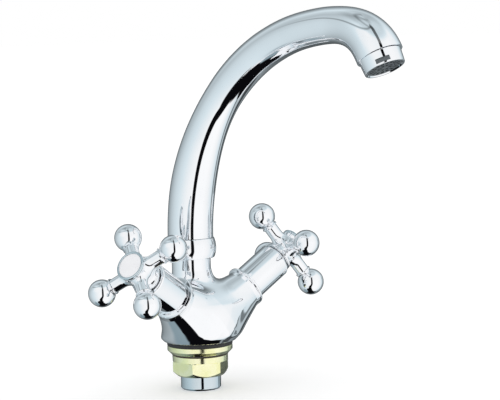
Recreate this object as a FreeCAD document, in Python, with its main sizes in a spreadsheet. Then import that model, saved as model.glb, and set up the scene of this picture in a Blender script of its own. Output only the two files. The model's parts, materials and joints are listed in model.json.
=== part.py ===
# Two handle kitchen faucet, built as a parametric document in millimetres.
#
# The origin is the top of the sink deck, under the base gasket, on the axis of
# the threaded shank. Z points up and the spout points forward along -Y.

import FreeCAD, Part
import Sketcher
import math
import os
import re

V = FreeCAD.Vector

SIZES = {
    # base and what clamps it to the deck
    "baseRadius": 25.0,
    "baseHeight": 4.8,
    "footInset": 2.6,
    "footRadius": "baseRadius - footInset",
    "gasketInset": 3.9,
    "gasketRadius": "baseRadius - gasketInset",
    "gasketGap": 3.2,
    "gasketHole": "shankRadius + gasketGap",
    "gasketHeight": 2.8,
    "gasketRecess": 1.4,
    "shankRadius": 13.2,
    "shankDrop": 28.7,
    "shankDepth": 10.0,
    "shankEdge": 1.2,
    "shankLead": 0.2,
    "shankPlain": "shankRadius - shankLead",
    "shankPlainTop": 8.6,
    "washerRadius": "gasketRadius",
    "washerThickness": 5.2,
    "washerEdge": 2.2,
    "fibreInset": 2.7,
    "fibreRadius": "washerRadius - fibreInset",
    "fibreThickness": 0.8,
    "nutWall": 2.7,
    "nutFlats": "2 * (shankRadius + nutWall)",
    "nutHeight": 13.7,
    "nutEdge": 2.4,
    "hoseRadius": 4.5,
    "hoseThreadDepth": 12.0,
    "hoseSpacing": 12.4,
    "supplyRadius": 3.2,
    # the body casting and its two inclined necks
    "axesHeight": 14.6,
    "axesForward": 6.2,
    "axisLean": 58.25,
    "axisTurn": 8.5,
    "neckReach": 39.1,
    "neckWall": 4.3,
    "neckRadius": "threadRadius + neckWall",
    "neckRoot": 17.4,
    "neckStart": 6.0,
    "rimProud": 1.3,
    "rimRadius": "neckRadius + rimProud",
    "rimWidth": 1.8,
    "waistHeight": 25.4,
    "waistHalfWidth": 36.5,
    "waistHalfDepth": 15.0,
    "waistForward": 8.0,
    "skirtRoot": 19.5,
    "bodyFillet": 6.5,
    # headworks
    "seatDepth": 20.0,
    "seatReach": "neckReach - seatDepth",
    "cageWall": 1.4,
    "threadRadius": "discRadius + cageWall",
    "sealHeight": 2.0,
    "sealWidth": 1.3,
    "sealBore": "discRadius - sealWidth",
    "discRadius": 7.2,
    "fixedDiscHeight": 3.0,
    "turningDiscHeight": 3.3,
    "windowInset": 1.5,
    "windowRadius": "discRadius - windowInset",
    "windowAngle": 150.0,
    "driverHeight": 3.2,
    "driverInset": 0.3,
    "driverRadius": "discRadius - driverInset",
    "tongueWidth": 2.6,
    "tongueDepth": 1.3,
    "stopHeight": 3.0,
    "stopAngle": 88.0,
    "stopGap": 0.6,
    "stopInner": "guideRadius + stopGap",
    "guideRadius": 4.0,
    "shoulderWidth": 1.5,
    "headShoulder": "threadRadius + shoulderWidth",
    "headShoulderHeight": 1.4,
    "headFlats": 17.0,
    "headHexHeight": 5.0,
    "barrelWall": 3.6,
    "headBarrel": "guideRadius + barrelWall",
    "headHeight": 19.4,
    "headTop": "neckReach + headHeight",
    "reliefDepth": 1.3,
    "windowWidth": 8.0,
    "windowHeight": 4.0,
    "ringSection": 0.75,
    "grooveWidth": 1.9,
    "grooveDepth": 1.0,
    "ringHeight": 10.9,
    "ringReach": "neckReach + ringHeight",
    "splineDrop": 5.0,
    "splineTop": "handleReach - splineDrop",
    "splineDepth": 0.45,
    "splineWidth": 0.62,
    "splineCount": 20,
    "splineLength": 13.6,
    "splineStart": "splineTop - splineLength",
    # chrome bonnets
    "bonnetProud": 1.5,
    "bonnetRadius": "headShoulder + bonnetProud",
    "bonnetWall": 1.1,
    "bonnetHeight": 28.3,
    "bonnetShoulder": "neckReach + bonnetHeight",
    "bonnetRound": 3.2,
    "noseWall": 3.6,
    "bonnetStep": "bonnetHole + noseWall",
    "noseHeight": 2.8,
    "bonnetTop": "bonnetShoulder + noseHeight",
    "bonnetGap": 0.6,
    "bonnetHole": "guideRadius + bonnetGap",
    "bonnetSkirt": 10.9,
    "bonnetThread": "neckReach + bonnetSkirt",
    "bonnetThreadLength": 7.0,
    "bonnetRoof": 1.6,
    # handles
    "handleHeight": 39.5,
    "handleReach": "neckReach + handleHeight",
    "ballReach": 27.4,
    "ballRadius": 8.65,
    "armRadius": 4.55,
    "armRoot": 6.6,
    "armCove": 12.6,
    "armBead": 5.3,
    "armBeadReach": 19.0,
    "armBeadWidth": 1.0,
    "hubRadius": 8.3,
    "skirtProud": 2.0,
    "skirtRadius": "bonnetStep + skirtProud",
    "skirtDepth": 9.6,
    "skirtLip": 1.5,
    "skirtWaist": 4.6,
    "skirtRecess": 2.0,
    "skirtWall": 1.5,
    "skirtHole": "skirtRadius - skirtWall",
    "hubTop": 6.6,
    "capOverhang": 0.2,
    "hubFlare": "capRadius - capOverhang",
    "leftHandleTurn": 41.3,
    "rightHandleTurn": 69.7,
    "handleScrewRadius": 2.0,
    "screwShoulder": 1.7,
    "screwHeadRadius": "handleScrewRadius + screwShoulder",
    "screwHeadHeight": 2.4,
    "screwSeat": 0.6,
    "screwLength": 15.0,
    "slotWidth": 1.0,
    "slotDepth": 1.1,
    "capPlug": 6.6,
    "capPlugDepth": 2.6,
    "capRadius": 9.6,
    "capHeight": 2.2,
    "capRim": 1.1,
    "discInset": 0.8,
    # spout joint
    "spoutBack": 5.8,
    "neckStep": 0.5,
    "spoutNeckRadius": "collarThread + neckStep",
    "spoutNeckHeight": 48.5,
    "collarStand": 7.5,
    "collarBottom": "spoutNeckHeight + collarStand",
    "collarHeight": 13.0,
    "collarTop": "collarBottom + collarHeight",
    "collarWall": 3.0,
    "collarEnd": "collarThread + collarWall",
    "bellyRise": 1.3,
    "collarBelly": "collarEnd + bellyRise",
    "neckTopWall": 3.15,
    "collarThread": "tailRadius + neckTopWall",
    "collarLip": 3.9,
    "neckTop": "collarTop - collarLip - slipHeight - clipHeight - 2 * looseFit",
    "tailRadius": 8.95,
    "tailDepth": 21.2,
    "tailBottom": "neckTop - tailDepth",
    "tailShoulder": 1.05,
    "tailHead": "tailRadius + tailShoulder",
    "tailStand": 8.0,
    "tailHeadTop": "collarTop + tailStand",
    "tailWall": 2.35,
    "tailBore": "tailRadius - tailWall",
    "mixingDepth": 10.0,
    "mixingBottom": "tailBottom - mixingDepth",
    "clipDepth": 0.75,
    "clipInner": "tailRadius - clipDepth",
    "clipWidth": 3.4,
    "clipOuter": "clipInner + clipWidth",
    "clipHeight": 1.8,
    "clipGap": 40.0,
    "slipHeight": 1.5,
    "ringRise": 4.0,
    "tailRingLower": "tailBottom + ringRise",
    "ringPitch": 6.0,
    "tailRingUpper": "tailRingLower + ringPitch",
    # spout
    "footStep": 0.4,
    "spoutFootRadius": "collarEnd - footStep",
    "spoutWaistRadius": 11.8,
    "spoutCrownRadius": 11.2,
    "endStep": 1.2,
    "spoutEndRadius": "aeratorRadius + endStep",
    "spoutBoreRadius": 9.2,
    "riseRadius": 139.3,
    "riseAngle": 25.6,
    "archRadius": 130.6,
    "dropRadius": 40.3,
    "dropAngle": 57.0,
    "spoutSections": 18,
    "spoutGap": 0.25,
    # aerator
    "aeratorRadius": 13.0,
    "aeratorLength": 8.6,
    "aeratorStep": 1.4,
    "aeratorThread": "aeratorRadius - aeratorStep",
    "aeratorThreadLength": 6.0,
    "aeratorWall": 1.0,
    "aeratorBore": "aeratorThread - aeratorWall",
    "lipWidth": 1.0,
    "aeratorLip": "aeratorBore - lipWidth",
    "aeratorLipHeight": 1.2,
    "notchWidth": 11.0,
    "notchHeight": 2.8,
    "notchDepth": 1.4,
    "notchUp": 1.6,
    "insertLength": 8.0,
    "insertWall": 1.1,
    "gridThickness": 1.2,
    "gridInner": 2.0,
    "gridMiddle": 5.0,
    "gridRib": 0.8,
    "innerSlots": 8,
    "outerSlots": 16,
    "notchTurn": 137.6,
    "sealingWidth": 1.6,
    # running and seating gaps
    "runningFit": 0.05,
    "looseFit": 0.3,
}

doc = FreeCAD.newDocument("Faucet")
sheet = doc.addObject("Spreadsheet::Sheet", "Sizes")


def fillSheet():
    """One row per size: its name beside its value, or beside the sizes it follows."""
    for row, name in enumerate(SIZES, start=1):
        sheet.set("A%d" % row, name)
        sheet.setAlias("B%d" % row, name)
    for row, value in enumerate(SIZES.values(), start=1):
        sheet.set("B%d" % row, "=" + value if isinstance(value, str) else str(value))
    doc.recompute()


def sized(text):
    """Write the names of sizes in an expression as cells of the sheet."""
    return re.sub(r"[A-Za-z]\w*", lambda word: "Sizes." + word.group()
                  if word.group() in SIZES else word.group(), str(text))


def size(text):
    return float(sheet.evalExpression(sized(text)))


def bind(thing, prop, text):
    thing.setExpression(prop, sized(text))


# ---------------------------------------------------------------- drawing

def newBody(label):
    body = doc.addObject("PartDesign::Body", label)
    body.Label = label
    return body


def originPlane(body, role):
    return [plane for plane in body.Origin.OriginFeatures if plane.Role == role][0]


def newSketch(body, name, role="XY_Plane", offset=None):
    sketch = body.newObject("Sketcher::SketchObject", name)
    sketch.AttachmentSupport = (originPlane(body, role), [""])
    sketch.MapMode = "FlatFace"
    if offset is not None:
        sketch.AttachmentOffset = offset
    return sketch


def fixDatum(sketch, kind, item, point, text):
    index = sketch.addConstraint(Sketcher.Constraint(kind, item, point, size(text)))
    bind(sketch, "Constraints[%d]" % index, text)


def arcBetween(start, end, radius):
    """The short arc from start to end: a positive radius turns left."""
    chord = end - start
    half = chord.Length / 2
    rise = math.sqrt(max(radius * radius - half * half, 0.0))
    side = V(-chord.y, chord.x, 0).normalize() * math.copysign(rise, radius)
    centre = (start + end) * 0.5 + side
    first, last = (start, end) if radius > 0 else (end, start)
    angles = [math.atan2(p.y - centre.y, p.x - centre.x) for p in (first, last)]
    circle = Part.Circle(centre, V(0, 0, 1), abs(radius))
    return Part.ArcOfCircle(circle, angles[0], angles[1])


def drawOutline(sketch, corners):
    """A closed outline. A corner is (x, y), or (x, y, radius) where an arc arrives at it."""
    points = [V(size(corner[0]), size(corner[1]), 0) for corner in corners]
    ends = []
    for index, corner in enumerate(corners):
        start, end = points[index - 1], points[index]
        if len(corner) == 3:
            radius = size(corner[2])
            item = sketch.addGeometry(arcBetween(start, end, radius))
            sketch.addConstraint(Sketcher.Constraint("Radius", item, abs(radius)))
            bind(sketch, "Constraints[%d]" % (sketch.ConstraintCount - 1), "abs(%s)" % corner[2])
            ends.append((item, 1, 2) if radius > 0 else (item, 2, 1))
        else:
            item = sketch.addGeometry(Part.LineSegment(start, end))
            ends.append((item, 1, 2))
        fixDatum(sketch, "DistanceX", ends[-1][0], ends[-1][2], corner[0])
        fixDatum(sketch, "DistanceY", ends[-1][0], ends[-1][2], corner[1])
    for index, (item, first, last) in enumerate(ends):
        before = ends[index - 1]
        sketch.addConstraint(Sketcher.Constraint("Coincident", before[0], before[2], item, first))
    return sketch


def drawCircle(sketch, radius, x="0", y="0"):
    item = sketch.addGeometry(Part.Circle(V(size(x), size(y), 0), V(0, 0, 1), size(radius)))
    sketch.addConstraint(Sketcher.Constraint("Radius", item, size(radius)))
    bind(sketch, "Constraints[%d]" % (sketch.ConstraintCount - 1), radius)
    fixDatum(sketch, "DistanceX", item, 3, x)
    fixDatum(sketch, "DistanceY", item, 3, y)
    return sketch


def drawOval(sketch, width, depth, y):
    """An ellipse across X, by its two half axes."""
    centre = V(0, size(y), 0)
    item = sketch.addGeometry(Part.Ellipse(centre, size(width), size(depth)))
    sketch.exposeInternalGeometry(item)
    fixDatum(sketch, "DistanceX", item, 3, "0")
    fixDatum(sketch, "DistanceY", item, 3, y)
    for line, length in ((item + 1, width), (item + 2, depth)):
        index = sketch.addConstraint(Sketcher.Constraint("Distance", line, 2 * size(length)))
        bind(sketch, "Constraints[%d]" % index, "2 * (%s)" % length)
    sketch.addConstraint(Sketcher.Constraint("Horizontal", item + 1))
    return sketch


def hexagonCorners(flats):
    return [("%s / sqrt(3) * cos(%d * 1deg)" % (flats, angle), "%s / sqrt(3) * sin(%d * 1deg)" % (flats, angle))
            for angle in range(30, 390, 60)]


def drawBox(sketch, left, right, bottom, top):
    return drawOutline(sketch, [(left, bottom), (right, bottom), (right, top), (left, top)])


def levelSketch(body, name, height):
    """A sketch parallel to XY at one height."""
    sketch = newSketch(body, name)
    bind(sketch, "AttachmentOffset.Base.z", height)
    doc.recompute()
    return sketch


def circleSketch(body, name, radius, height, y="0"):
    return drawCircle(levelSketch(body, name, height), radius, "0", y)


# ---------------------------------------------------------------- features

def loft(body, sections, name, kind="AdditiveLoft"):
    doc.recompute()
    feature = body.newObject("PartDesign::" + kind, name)
    feature.Profile = sections[0]
    feature.Sections = sections[1:]
    feature.Ruled = True
    doc.recompute()
    return feature


def squeezedRing(body, radius, height, section):
    """A rubber ring as it lies squeezed in its groove: a square section with its half width."""
    across = ["(%s) %s (%s)" % (radius, sign, section) for sign in "-+"]
    along = ["(%s) %s (%s)" % (height, sign, section) for sign in "-+"]
    return turn(body, ringOutline(across[0], across[1], along[0], along[1]))


def turn(body, corners, name="Turned", kind="Revolution", axis="V_Axis", offset=None):
    """Revolve an outline drawn in the XZ plane about that sketch's own axis."""
    if offset is None:
        sketch = newSketch(body, name + "Outline", "XZ_Plane")
    else:
        upright = FreeCAD.Placement(V(0, 0, 0), FreeCAD.Rotation(V(1, 0, 0), 90))
        sketch = newSketch(body, name + "Outline", "XY_Plane", offset * upright)
    drawOutline(sketch, corners)
    feature = body.newObject("PartDesign::" + kind, name)
    feature.Profile = sketch
    feature.ReferenceAxis = (sketch, [axis])
    feature.Angle = 360
    doc.recompute()
    return feature


def ringOutline(inner, outer, bottom, top):
    return [(inner, bottom), (outer, bottom), (outer, top), (inner, top)]


def extrude(body, sketch, length, name, kind="Pad", both=False, backward=False):
    feature = body.newObject("PartDesign::" + kind, name)
    feature.Profile = sketch
    bind(feature, "Length", length)
    feature.Midplane = both
    feature.Reversed = backward
    doc.recompute()
    return feature


def polar(body, feature, count, name="Around"):
    pattern = body.newObject("PartDesign::PolarPattern", name)
    pattern.Originals = [feature]
    pattern.Axis = (originPlane(body, "Z_Axis"), [""])
    pattern.Angle = 360
    pattern.Occurrences = int(size(count))
    if str(count) in SIZES:
        bind(pattern, "Occurrences", count)
    body.Tip = pattern
    doc.recompute()
    return pattern


def drill(body, start, end, radius, name):
    """A round passage between two points of the body."""
    along = end - start
    cylinder = body.newObject("PartDesign::SubtractiveCylinder", name)
    bind(cylinder, "Radius", radius)
    cylinder.Height = along.Length
    cylinder.AttachmentSupport = (originPlane(body, "XY_Plane"), [""])
    cylinder.MapMode = "FlatFace"
    cylinder.AttachmentOffset = FreeCAD.Placement(start, FreeCAD.Rotation(V(0, 0, 1), along))
    doc.recompute()
    return cylinder


def roundEdges(body, radius, test, name="Rounded", kind="Fillet"):
    base = body.Tip
    edges = ["Edge%d" % (index + 1) for index, edge in enumerate(base.Shape.Edges) if test(edge)]
    feature = body.newObject("PartDesign::" + kind, name)
    feature.Base = (base, edges)
    bind(feature, "Radius" if kind == "Fillet" else "Size", radius)
    doc.recompute()
    return feature


def circleAt(radius, height):
    """A test for the full circle of one radius at one height on the Z axis."""
    def test(edge):
        curve = edge.Curve
        if curve.TypeId != "Part::GeomCircle":
            return False
        return abs(curve.Radius - size(radius)) < 1e-3 and abs(curve.Center.z - size(height)) < 1e-3
    return test


def creaseAbove(body, height):
    """A test for the curved seams where two necks run into each other."""
    shape = body.Tip.Shape

    def test(edge):
        if edge.Curve.TypeId in ("Part::GeomCircle", "Part::GeomLine"):
            return False
        return edge.CenterOfMass.z > size(height) and len(shape.ancestorsOfType(edge, Part.Face)) == 2
    return test


# ---------------------------------------------------------------- frames

def sideFrame(side):
    """The frame of one handle axis: Z runs outward along it and X leans forward."""
    lean = math.radians(size("axisLean"))
    turned = math.radians(size("axisTurn"))
    axis = V(side * math.sin(lean) * math.cos(turned), -math.sin(lean) * math.sin(turned), math.cos(lean))
    across = V(0, -1, 0) - axis * V(0, -1, 0).dot(axis)
    origin = V(0, -size("axesForward"), size("axesHeight"))
    return FreeCAD.Placement(origin, FreeCAD.Rotation(across, V(0, 0, 0), axis, "ZXY"))


def handleFrame(side):
    name = "leftHandleTurn" if side < 0 else "rightHandleTurn"
    spin = FreeCAD.Placement(V(0, 0, 0), FreeCAD.Rotation(V(0, 0, 1), size(name)))
    return sideFrame(side) * spin


def handleCentre(side):
    return handleFrame(side) * FreeCAD.Placement(V(0, 0, size("handleReach")), FreeCAD.Rotation())


def spoutFrame():
    return FreeCAD.Placement(V(0, size("spoutBack"), 0), FreeCAD.Rotation())


def spoutPath(heading):
    """Point and direction on the spout's centre line where it heads at this angle above level."""
    rise, arch, drop = size("riseRadius"), size("archRadius"), size("dropRadius")
    kink = math.radians(90 - size("riseAngle"))
    forward, height = rise, size("collarTop + spoutGap")
    if heading >= kink:
        radius = rise
    else:
        forward += (arch - rise) * math.sin(kink)
        height += (rise - arch) * math.cos(kink)
        radius = arch
    if heading < 0:
        height += arch - drop
        radius = drop
    point = V(0, -(forward - radius * math.sin(heading)), height + radius * math.cos(heading))
    return point, V(0, -math.cos(heading), math.sin(heading))


def spoutSection(heading):
    """Radius of the tube at a heading: foot, waist, crown and flared end joined smoothly."""
    marks = [(90, "spoutFootRadius"), (80, "spoutFootRadius"), (46, "spoutWaistRadius"),
             (8, "spoutCrownRadius"), (-6, "spoutCrownRadius"), (-size("dropAngle"), "spoutEndRadius")]
    degrees = math.degrees(heading)
    for (high, first), (low, last) in zip(marks, marks[1:]):
        if degrees >= low - 1e-6:
            share = (high - degrees) / (high - low)
            ease = share * share * (3 - 2 * share)
            return size(first) + (size(last) - size(first)) * ease
    return size("spoutEndRadius")


def outletFrame():
    point, along = spoutPath(-math.radians(size("dropAngle")))
    turned = FreeCAD.Rotation(V(1, 0, 0), V(0, 0, 0), along, "ZXY")
    return spoutFrame() * FreeCAD.Placement(point, turned)


# ---------------------------------------------------------------- base and body

def makeGasket():
    body = newBody("base_gasket")
    turn(body, ringOutline("gasketHole", "gasketRadius", "0", "gasketHeight + gasketRecess"))


def makeWasher():
    body = newBody("clamp_washer")
    turn(body, [("shankRadius + looseFit", "0"), ("washerRadius", "0"),
                ("washerRadius", "washerEdge - washerThickness"),
                ("washerRadius - washerEdge", "-washerThickness"),
                ("shankRadius + looseFit", "-washerThickness")])


def makeFibreWasher():
    body = newBody("fibre_washer")
    turn(body, ringOutline("shankRadius + looseFit", "fibreRadius",
                           "-washerThickness - fibreThickness", "-washerThickness"))


def makeNut():
    """Hexagon with both ends turned to a cone, tapped for the shank."""
    body = newBody("lock_nut")
    top = "-washerThickness - fibreThickness"
    bottom = top + " - nutHeight"
    sketch = levelSketch(body, "Hexagon", top)
    drawOutline(sketch, hexagonCorners("nutFlats"))
    extrude(body, sketch, "nutHeight", "Blank", backward=True)
    outer = "nutFlats"
    turn(body, [("nutFlats / 2 - nutEdge / 3", bottom), (outer, bottom),
                (outer, bottom + " + (nutFlats / 2 + nutEdge / 3) * 0.5")], "LowerCone", "Groove")
    turn(body, [("nutFlats / 2", top), (outer, top + " - nutFlats / 4"), (outer, top)], "UpperCone", "Groove")
    turn(body, ringOutline("0", "shankRadius + runningFit", bottom + " - 1", top + " + 1"), "Tapped", "Groove")


def makeShank():
    """Nipple that clamps the faucet, with the two hose inlets in its lower end."""
    body = newBody("shank")
    turn(body, [("0", "-shankDrop"), ("shankPlain - shankEdge", "-shankDrop"),
                ("shankPlain", "shankEdge - shankDrop"), ("shankPlain", "shankPlainTop - shankDrop"),
                ("shankRadius", "shankPlainTop - shankDrop"), ("shankRadius", "shankDepth + gasketHeight"),
                ("0", "shankDepth + gasketHeight")])
    for side in (-1, 1):
        place = V(side * size("hoseSpacing") / 2, 0, -size("shankDrop"))
        mouth = V(0, 0, size("hoseThreadDepth"))
        top = V(0, 0, size("shankDrop + shankDepth + gasketHeight"))
        drill(body, place, place + mouth, "hoseRadius", "HoseThread")
        drill(body, place, place + top, "supplyRadius", "Supply")


def makeValveBody():
    """One casting: round base, two inclined necks and the spout neck, cored for the water ways."""
    body = newBody("valve_body")
    turn(body, [("0", "gasketHeight"), ("footRadius", "gasketHeight"),
                ("baseRadius - 0.8", "baseHeight - 1.2"), ("baseRadius", "baseHeight"),
                ("0", "baseHeight")], "Foot")
    base = circleSketch(body, "BaseCircle", "baseRadius", "baseHeight")
    waist = levelSketch(body, "WaistOval", "waistHeight")
    drawOval(waist, "waistHalfWidth", "waistHalfDepth", "-waistForward")
    loft(body, [base, waist], "Fan")
    again = circleSketch(body, "NeckBase", "skirtRoot", "baseHeight - 1")
    top = circleSketch(body, "NeckCircle", "spoutNeckRadius", "spoutNeckHeight", "spoutBack")
    loft(body, [again, top], "NeckSkirt")
    turn(body, [("0", "spoutNeckHeight"), ("spoutNeckRadius", "spoutNeckHeight"),
                ("spoutNeckRadius", "collarBottom"), ("collarThread", "collarBottom"),
                ("collarThread", "neckTop"), ("0", "neckTop")], "SpoutNeck", offset=spoutFrame())
    for side, name in SIDES:
        turn(body, [("0", "neckStart"), ("neckRoot", "neckStart"), ("neckRadius", "neckReach - rimWidth - 3"),
                    ("neckRadius", "neckReach - rimWidth"), ("rimRadius", "neckReach - rimWidth"),
                    ("rimRadius", "neckReach"), ("0", "neckReach")], name + "Neck", offset=sideFrame(side))
    roundEdges(body, "bodyFillet", creaseAbove(body, "waistHeight + 2"), "Creases")
    coreValveBody(body)


def coreValveBody(body):
    """Seats for the shank, gasket, headworks and spout tail, and the water ways that join them."""
    turn(body, ringOutline("gasketHole", "gasketRadius", "gasketHeight", "gasketHeight + gasketRecess"),
         "GasketSeat", "Groove")
    turn(body, ringOutline("0", "shankRadius + runningFit", "gasketHeight - 1", "gasketHeight + shankDepth"),
         "ShankSeat", "Groove")
    turn(body, ringOutline("0", "tailRadius + runningFit", "mixingBottom", "neckTop + 1"),
         "MixingBore", "Groove", offset=spoutFrame())
    for side, name in SIDES:
        frame = sideFrame(side)
        bore = "threadRadius + runningFit"
        turn(body, ringOutline("0", bore, "seatReach", "neckReach + 1"), name + "Bore", "Groove", offset=frame)
        turn(body, ringOutline("0", bore + " + 2 * ringSection", "neckReach - 2 * ringSection - runningFit",
                               "neckReach + 1"), name + "RingSeat", "Groove", offset=frame)
        turn(body, ringOutline("0", bore + " + reliefDepth", TURNING_BOTTOM, DRIVER_TOP),
             name + "Relief", "Groove", offset=frame)
        seat = frame.multVec(V(0, 0, size("seatReach") + 0.5))
        inlet = V(side * size("hoseSpacing") / 2, 0, size("gasketHeight + shankDepth") - 0.5)
        drill(body, inlet, seat, "supplyRadius", name + "Inlet")
        chamber = frame.multVec(V(0, 0, size(DRIVER_TOP)))
        mixing = V(0, size("spoutBack"), size("mixingBottom + supplyRadius"))
        drill(body, chamber, mixing, "supplyRadius", name + "Outlet")


# ---------------------------------------------------------------- headworks

def sector(sketch, inner, outer, centre, angle):
    """A ring sector about the origin, its middle at the angle centre."""
    spread = "(%s) / 2" % angle
    corners = []
    for radius, sign in ((inner, "-"), (outer, "-"), (outer, "+"), (inner, "+")):
        turned = "(%s %s %s)" % (centre, sign, spread)
        corners.append(("(%s) * cos(%s * 1deg)" % (radius, turned),
                        "(%s) * sin(%s * 1deg)" % (radius, turned)))
    corners[2] = corners[2] + (outer,)
    corners[0] = corners[0] + ("-(%s)" % inner,)
    return drawOutline(sketch, corners)


def makeHeadwork(side, name):
    """Brass insert: screwed into the neck, it holds the discs and guides the spindle."""
    body = newBody(name + "_headwork")
    chamber = "discRadius + runningFit"
    guide = "guideRadius + runningFit"
    roof = STOP_TOP + " + looseFit"
    turn(body, [(chamber, "seatReach + looseFit"), ("threadRadius - looseFit", "seatReach + looseFit"),
                ("threadRadius - looseFit", DRIVER_TOP), ("threadRadius", DRIVER_TOP + " + looseFit"),
                ("threadRadius", "neckReach"), ("headShoulder", "neckReach"),
                ("headShoulder", "neckReach + headShoulderHeight"),
                ("headBarrel", "neckReach + headShoulderHeight"),
                ("headBarrel", "headTop"), (guide, "headTop"), (guide, roof), (chamber, roof)])
    hexagon = levelSketch(body, "Hexagon", "neckReach + headShoulderHeight")
    drawOutline(hexagon, hexagonCorners("headFlats"))
    drawCircle(hexagon, "headBarrel - 0.5")
    extrude(body, hexagon, "headHexHeight", "Spanner")
    stop = levelSketch(body, "Stop", DRIVER_TOP)
    sector(stop, "stopInner", chamber + " + 0.2", "270", "stopAngle")
    extrude(body, stop, "stopHeight + looseFit + 0.2", "StopTooth")
    window = newSketch(body, "Window", "XZ_Plane")
    drawBox(window, "-windowWidth / 2", "windowWidth / 2", TURNING_BOTTOM, TURNING_BOTTOM + " + windowHeight")
    extrude(body, window, "4 * threadRadius", "SideWindows", "Pocket", both=True)
    body.Placement = handleFrame(side)


def makeHeadworkRing(side, name):
    body = newBody(name + "_headwork_ring")
    squeezedRing(body, "threadRadius + runningFit + ringSection",
                 "neckReach - ringSection - runningFit", "ringSection - 0.03")
    body.Placement = handleFrame(side)


def makeSeatSeal(side, name):
    body = newBody(name + "_seat_seal")
    turn(body, ringOutline("sealBore", "discRadius", "seatReach", SEAL_TOP))
    body.Placement = handleFrame(side)


def makeFixedDisc(side, name):
    """Ceramic disc with a half moon window on the side that opens."""
    body = newBody(name + "_fixed_disc")
    disc = circleSketch(body, "Disc", "discRadius", SEAL_TOP)
    edge = "windowRadius * cos((90 - windowAngle / 2) * 1deg)"
    sill = "windowRadius * sin((90 - windowAngle / 2) * 1deg)"
    drawOutline(disc, [("-" + edge, sill, "windowRadius"), (edge, sill), ("0", "windowRadius", "windowRadius")])
    extrude(body, disc, "fixedDiscHeight", "Plate")
    body.Placement = handleFrame(side)


def makeTurningDisc(side, name):
    """Ceramic disc cut away on one side, with a slot across it for the spindle's tongue."""
    body = newBody(name + "_turning_disc")
    sill = "-windowRadius * sin((90 - windowAngle / 2) * 1deg)"
    edge = "sqrt(discRadius^2 - (%s)^2)" % sill
    disc = levelSketch(body, "Disc", TURNING_BOTTOM)
    drawOutline(disc, [("-" + edge, sill, "discRadius"), (edge, sill), ("0", "discRadius", "discRadius")])
    extrude(body, disc, "turningDiscHeight", "Plate")
    slot = levelSketch(body, "TongueSlot", TURNING_TOP)
    drawBox(slot, "-discRadius - 1", "discRadius + 1", "-tongueWidth / 2 + 0.8", "tongueWidth / 2 + 0.8")
    extrude(body, slot, "tongueDepth + runningFit", "Slot", "Pocket")
    body.Placement = handleFrame(side)


def makeSpindle(side, name):
    """Spindle: tongue and driver disc, stop lug, ring groove, splined end tapped for the screw."""
    body = newBody(name + "_spindle")
    groove = "ringReach"
    turn(body, [("0", TURNING_TOP), ("driverRadius", TURNING_TOP), ("driverRadius", DRIVER_TOP),
                ("guideRadius", DRIVER_TOP),
                ("guideRadius", groove), ("guideRadius - grooveDepth", groove),
                ("guideRadius - grooveDepth", groove + " + grooveWidth"), ("guideRadius", groove + " + grooveWidth"),
                ("guideRadius", "splineTop"), ("handleScrewRadius + runningFit", "splineTop"),
                ("handleScrewRadius + runningFit", SCREW_END + " - 0.5"), ("0", SCREW_END + " - 1.5")])
    lug = levelSketch(body, "Lug", DRIVER_TOP)
    sector(lug, "guideRadius - 0.5", "driverRadius", "0", "stopAngle")
    extrude(body, lug, "stopHeight", "StopLug")
    tongue = levelSketch(body, "Tongue", TURNING_TOP)
    fit = "runningFit"
    drawBox(tongue, "-driverRadius * 0.85", "driverRadius * 0.85",
            "-tongueWidth / 2 + 0.8 + " + fit, "tongueWidth / 2 + 0.8 - " + fit)
    extrude(body, tongue, "tongueDepth", "DriveTongue", backward=True)
    spline = levelSketch(body, "Spline", "splineStart")
    drawBox(spline, "guideRadius - splineDepth", "guideRadius + 1", "-splineWidth / 2", "splineWidth / 2")
    cut = extrude(body, spline, "splineTop", "SplineGroove", "Pocket", backward=True)
    polar(body, cut, "splineCount", "Splines")
    body.Placement = handleFrame(side)


def makeSpindleRing(side, name):
    body = newBody(name + "_spindle_ring")
    section = "(grooveDepth + runningFit) / 2 - 0.01"
    squeezedRing(body, "guideRadius - grooveDepth / 2 + runningFit / 2 - 0.01", "ringReach + grooveWidth / 2", section)
    body.Placement = handleFrame(side)


def makeBonnet(side, name):
    """Chrome sleeve with a rounded shoulder, screwed on the headwork's barrel."""
    body = newBody(name + "_bonnet")
    wall = "bonnetRadius - bonnetWall"
    shoulder = "bonnetShoulder - bonnetRound"
    turn(body, [(wall, "neckReach"), ("bonnetRadius", "neckReach"), ("bonnetRadius", shoulder),
                ("bonnetRadius - bonnetRound", "bonnetShoulder", "bonnetRound"),
                ("bonnetStep", "bonnetShoulder"), ("bonnetStep", "bonnetTop"), ("bonnetHole", "bonnetTop"),
                ("bonnetHole", "bonnetShoulder - bonnetRoof"),
                (wall + " - bonnetRound / 2", "bonnetShoulder - bonnetRoof"),
                (wall, "bonnetShoulder - bonnetRound"), (wall, "bonnetThread + bonnetThreadLength"),
                ("headBarrel + runningFit", "bonnetThread + bonnetThreadLength"),
                ("headBarrel + runningFit", "bonnetThread"), (wall, "bonnetThread")])
    body.Placement = handleFrame(side)


# ---------------------------------------------------------------- handles

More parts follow.
